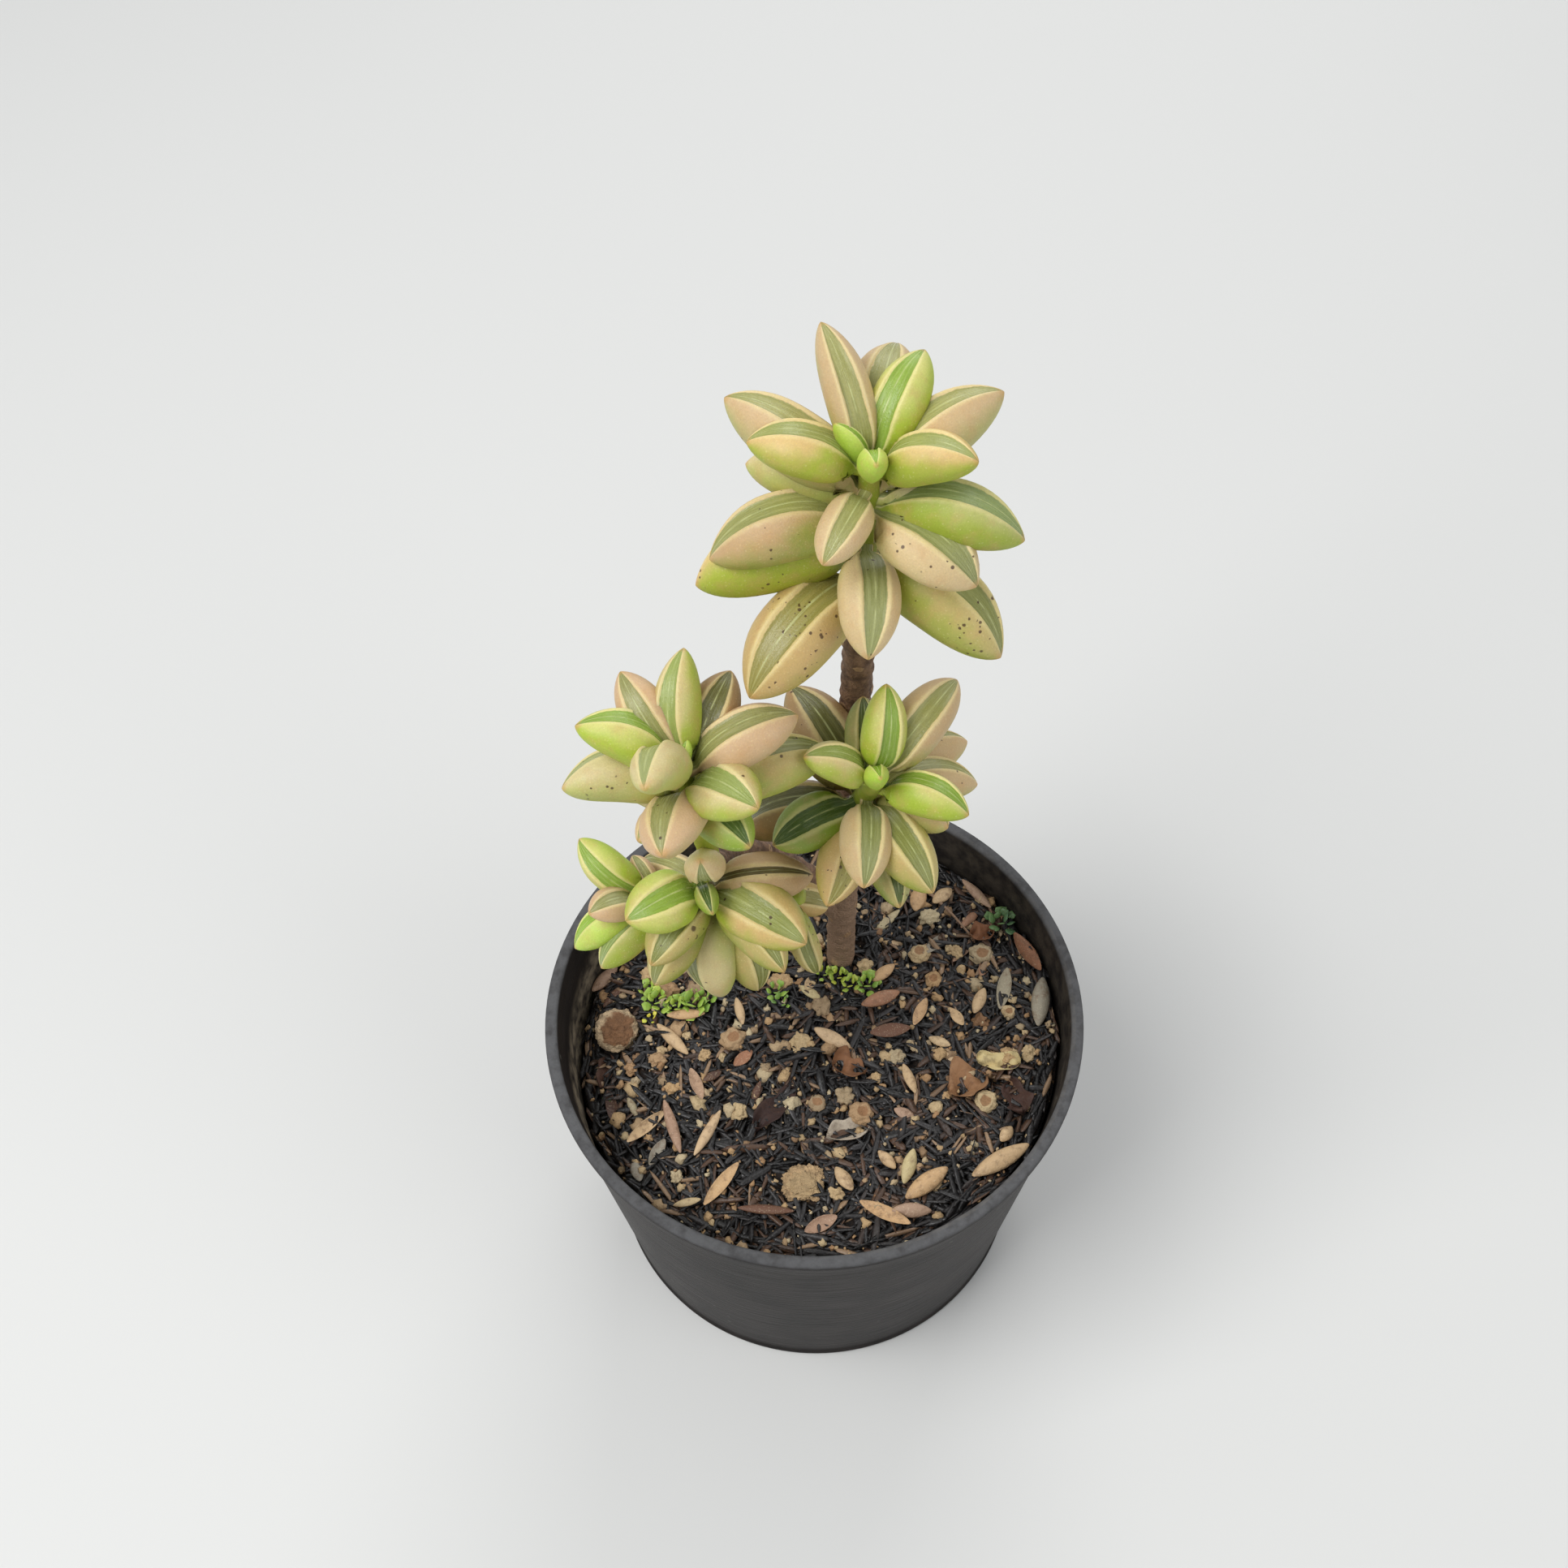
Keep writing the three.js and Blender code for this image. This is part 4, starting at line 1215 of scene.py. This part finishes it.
# Each leaf: height up the shoot, turn about +Z, rise, length, roll, look and specks, and then
# its width and its arch as shares of its length, where they differ from the usual
head_rows = {
    "head_top": [
        ((5.8, 11.3, 128), (6.2, 10, 147.5), [
            (3, -133, -16, 18.8, 5, "old", 0.5, 0.53), (5.8, -33, -20, 18.2, 10, "olive", 0.7, 0.52),
            (5, 130, -15, 13, 0, "olive", 0.2), (6, 50, -15, 14, 0, "tan", 0.2),
            (8.6, -90, -18, 13.8, 12, "cream", 0.15, 0.56), (7.9, -168, -7, 18.5, -45, "sunny", 0.3),
            (9, 95, -5, 13, 0, "tan", 0.1), (12.5, -168, -10, 17, -5, "blush", 0.1, 0.5, 0.07),
            (13.8, -38, -13, 14.2, 0, "cream", 0.3, 0.66), (13.5, 160, 8, 13.5, -45, "pale", 0),
            (14.2, -15, -5, 16.5, 0, "green", 0, leaf_width, 0.1), (15, -9, 0, 9.5, 15, "pale", 0.4),
            (16.5, -116, -4, 11, 15, "tan", 0, 0.56), (15.3, 23, 30, 17, 5, "tan", 0, 0.4),
            (15.5, 157, 26, 17.5, 0, "tan", 0.1, 0.4, 0), (15.5, 78, 22, 17, 0, "tan", 0, 0.5, 0.12),
            (18, 115, 45, 16, 10, "tan", 0, 0.34, 0.03), (18.5, -24, 28, 12.7, 2, "sunny", 0, 0.52),
            (18.8, 59, 35, 13.3, 5, "lime", 0, 0.5), (19, 177, 16, 12.8, -10, "sunny", 0, 0.62, 0.04),
            (18, 165, 61, 7.5, 0, "bud", 0, 0.3), (18.3, -86, 51, 8.5, 0, "bud", 0, 0.46),
        ]),
    ],
    "head_left": [
        ((-12.2, -1.8, 94), (-13.9, -6, 118), [
            (0.3, -96, 56, 10.5, 170, "cream", 0.1, 0.55), (14, 150, -5, 11, 0, "tan", 0.1),
            (15.5, -130, 20, 9.5, -20, "tan", 0, 0.55), (16, 85, 0, 12, 0, "olive", 0.2),
            (16.5, -52, 19, 11.5, 0, "deep", 0, 0.6), (18, 17, 6, 16.5, 5, "olive", 0.2),
            (18, -101, 27, 13.5, -25, "pink", 0.1, 0.65),
            (20.5, -170, 14, 14, -40, "pale", 0.2, 0.55, 0.1),
            (21.5, -42, 27, 12.2, -8, "fresh", 0.1, 0.72), (23, 63, 28, 12.8, -15, "brown", 0.1, 0.55),
            (24, 129, 36, 13, 30, "pink", 0, 0.5), (24, 88, 45, 13.7, 22, "fresh", 0, 0.42),
            (24, 173, 32, 13.2, -20, "lime", 0, 0.58, 0.1), (24, 20, 18, 14, 5, "pink", 0, 0.55),
            (24, -111, 45, 12.5, -30, "pale", 0, 0.55, 0.14), (24, 60, 75, 5, 0, "bud", 0, 0.5),
        ]),
    ],
    "head_right": [
        ((5.6, 3.5, 98), (7.3, -3, 112), [
            (1, -107, -9, 14, 30, "old", 0.5, 0.5), (1, -72, -8, 14.5, 5, "shade", 0.1),
            (1.8, -184, -29, 16, 0, "brown", 0.1, 0.48), (2, 0, -25, 12, 0, "olive", 0.1),
            (2.5, 127, 30, 16, 0, "brown", 0.1, 0.56), (4, -155, -12, 12, 20, "deep", 0, 0.64),
            (4, -34, 15, 12, 40, "tan", 0), (5, 30, 4, 14.5, 20, "tan", 0.1),
            (5.5, -58, -9, 14.5, 0, "olive", 0, 0.52), (7.5, 10, -8, 13.5, 15, "tan", 0.1),
            (7.5, -93, -5, 12.5, 15, "cream", 0, 0.57), (8.5, 93, 37, 11, 0, "shade", 0, 0.52),
            (12, -27, 8, 12, 15, "lime", 0, 0.55), (14, -171, 40, 10.5, 0, "fresh", 0, 0.58),
            (14, 78, 60, 12, -30, "lime", 0, 0.5), (14.5, 49, 17, 15.2, -20, "tan", 0, 0.47),
            (13.5, -83, 58, 7.5, 0, "bud", 0, 0.5),
        ]),
    ],
    "head_low": [
        ((-10.6, 0.2, 83), (-13.6, -4.7, 93.6), [
            (3, -90, -45, 11, 0, "olive", 0.1), (5, 150, -15, 12, 0, "tan", 0.1),
            (5.5, -57, -53, 15, 10, "olive", 0.2), (6, -128, -30, 14, 0, "olive", 0.2, 0.5),
            (6.5, -86, -57, 15, -60, "pale", 0.1, 0.7), (6.5, -54, 2, 15, -5, "olive", 0.3),
            (7.3, -122, 1, 13, 15, "olive", 0.7, 0.55), (9.2, -36, 3, 15, -20, "sunny", 0.1, 0.6),
            (11, 3, 2, 13.5, -15, "slit", 0.3, 0.55), (10.6, -139, 19, 12, 25, "lime", 0, 0.72),
            (11, -76, 30, 8, -10, "deep", 0),
        ]),
        ((-11.4, -1, 85.6), (-21, -4, 88), [
            (6, -140, -18, 12.5, -15, "green", 0, 0.5), (8, -155, -15, 12, -20, "bud", 0, 0.5),
            (8, 125, 25, 6.5, 0, "pink", 0, 0.6), (9, 147, 28, 11.8, 50, "lime", 0, 0.5),
            (9.5, -150, 25, 8.5, 0, "pink", 0, 0.75),
        ]),
        ((-11.2, -0.8, 85.4), (-1, -3, 87.5), [
            (5.5, 16, -40, 10.5, -30, "old", 0.2, 0.5), (8.5, -55, -59, 12, -20, "olive", 0.5, 0.36),
        ]),
    ],
}
print(len(looks), "looks, and heads with", [len(shoots) for shoots in head_rows.values()], "shoots")

# %% Growing the heads
shoot_radius = 1.3
shoot_joint = 3.1
shoot_steps = 24
shoot_sides = 16
tint_shift = 0.03


def dress(floats, tints, vertices, look, marks, quirk, shares):
    """Writes on a leaf's points all that its material reads."""
    side, keel, window, climb = look
    for vertex, (along, around) in zip(vertices, shares):
        for layer, value in zip(floats, (along, around, climb, marks, quirk)):
            vertex[layer] = value
        for layer, value in zip(tints, (side, keel, window)):
            vertex[layer] = value


def shoot_radius_at(reach, angle, whole):
    joints = 1 + 0.05 * math.cos(math.tau * reach / shoot_joint)
    return shoot_radius * (1 - 0.15 * reach / whole) * joints * min(1.0, 0.75 + (whole - reach))


def grow_head(shoots):
    """One mesh for a head: its green shoots, and the leaves round them."""
    bm = bmesh.new()
    layers = bm.verts.layers
    floats = [layers.float.new(name) for name in ("along", "around", "climb", "marks", "quirk")]
    tints = [layers.float_color.new(name) for name in ("side", "keel", "window")]
    count = 0
    for start, end, leaves in shoots:
        start, end = Vector(start), Vector(end)
        line = [start.lerp(end, k / shoot_steps) for k in range(shoot_steps + 1)]
        rings, _ = rod(bm, line, shoot_radius_at, shoot_sides)
        shoot = [vertex for ring in rings for vertex in ring]
        shoot_look = [paint(*color) for color in looks["green"][:3]] + [1.0]
        dress(floats, tints, shoot, shoot_look, 0.0, 0.5, [(0.3, 3.0)] * len(shoot))
        for height, turn, rise, length, roll, look, marks, *form in leaves:
            width, arch = form + [leaf_width, leaf_arch][len(form):]
            count += 1
            quirk = count * 1.37 + start.x
            base = start.lerp(end, min(1.0, height / (end - start).length))
            place = leaf_place(base, turn, rise, roll)
            ball = bmesh.ops.create_uvsphere(bm, u_segments=leaf_sides, v_segments=leaf_rings,
                                             radius=1.0)["verts"]
            shares = []
            opening = slit_opening if look == "slit" else 1.0
            for vertex in ball:
                point, share, around = leaf_point(vertex.co, length, width, arch, quirk, opening)
                vertex.co = place @ point
                shares.append((share, around))
            shift = tint_shift * math.sin(quirk * 9.1)
            *colors, climb = looks[look]
            tuned = [paint(*(min(1.0, c + shift) for c in color)) for color in colors]
            dress(floats, tints, ball, (*tuned, climb), marks, quirk, shares)
    bmesh.ops.recalc_face_normals(bm, faces=bm.faces)
    return bm, count


heads = {node: grow_head(shoots) for node, shoots in head_rows.items()}
print("leaves:", {node: count for node, (bm, count) in heads.items()})

# %% [markdown]
# One material serves all the leaves, because each point carries its leaf's own colours and
# its place on the leaf. The number round the leaf says where the window, the ridge and the
# keel are, and the number along it keeps the veins lengthwise. The window is smoother than
# the sides, and a little light passes under the skin, as it does in a juicy leaf.

# %% The leaf's skin
def leaf_material():
    """Leaf skin: olive window with pale veins, cream ridges, sides that green at the keel."""
    skin = Skin("leaf skin", 0.4, Subsurface_Weight=0.18, Subsurface_Scale=0.0015,
                Subsurface_Radius=(1.0, 0.9, 0.35))
    along, around, climb, marks, quirk = (
        skin.reading(name) for name in ("along", "around", "climb", "marks", "quirk"))
    side, keel, window = (skin.reading(name, "Color") for name in ("side", "keel", "window"))

    # The side, greener towards the keel and the stalk, with a faint blush and pale dots
    near_stalk = along.step(0.55, 0.04, 0.0, 2.0) * climb
    depth = (skin.cloud(3.2, 3.0) - 0.5) * 1.1 + around + near_stalk
    skin.color = blend((depth - (climb * -1.9 + 2.75)).step(-0.5, 0.65), side, keel)
    skin.coat(skin.cloud(2.1, 4.0, 0.6).step(0.42, 0.75, 0.0, 0.36), 0.80, 0.62, 0.42)
    skin.coat(skin.specks(0.34, 0.6, 0.3) * 0.16, 0.97, 0.93, 0.72)

    # The window: long streaks, a darker border, and a pale line down its middle
    lengthwise = put(skin.tree, "CombineXYZ", {0: around * 5.0, 1: along * 3.5, 2: quirk})
    streaks = lengthwise.cloud(1.0, 3.0, 0.6)
    darker = blend(1.0, window, (0.82, 0.84, 0.74, 1), "MULTIPLY")
    window = blend(streaks.step(0.35, 0.68), darker, window)
    window = blend(around.step(0.5, 0.85, 0.0, 0.3), window, darker)
    broken = lengthwise.cloud(0.45, 3.0).step(0.35, 0.55)
    second = (around - 0.5).math("ABSOLUTE").step(0.09, 0.03) * (broken * 0.2)
    veins = (around.step(0.09, 0.03) * broken).at_least(second)
    window = blend(veins * 0.5, window, paint(0.84, 0.86, 0.62))

    # The window ends at the ridges, which are the palest part
    edge = (skin.cloud(0.9, 3.0) - 0.5) * 0.16 + around
    in_window = edge.step(0.9, 0.8)
    ridge = edge.step(0.8, 0.9) * edge.step(1.2, 1.0) * 0.7
    skin.color = blend(in_window, skin.color, window)
    skin.color = blend(ridge, skin.color, blend(0.62, side, paint(0.96, 0.90, 0.66)))
    skin.coat(along.step(0.955, 0.995, 0.0, 0.6), 0.80, 0.62, 0.36)

    # Brown specks, in loose swarms, on the leaves that have them
    swarm = marks * skin.cloud(2.4).step(0.45, 0.7)
    spots = skin.specks(0.55, swarm, 0.36).at_least(skin.specks(2.0, swarm * 0.6, 0.24))
    skin.coat(spots * 0.85, 0.27, 0.15, 0.08)

    height = in_window * streaks * 1.5 + skin.grained(0.2, 0.34)
    return skin.finish(height, 0.05, streaks * 0.12 + (in_window * -0.22 + 0.43))


leaf_skin = leaf_material()
for node, (bm, count) in heads.items():
    keep("leaves_" + node.removeprefix("head_"), bm, leaf_skin, "leaf", node)
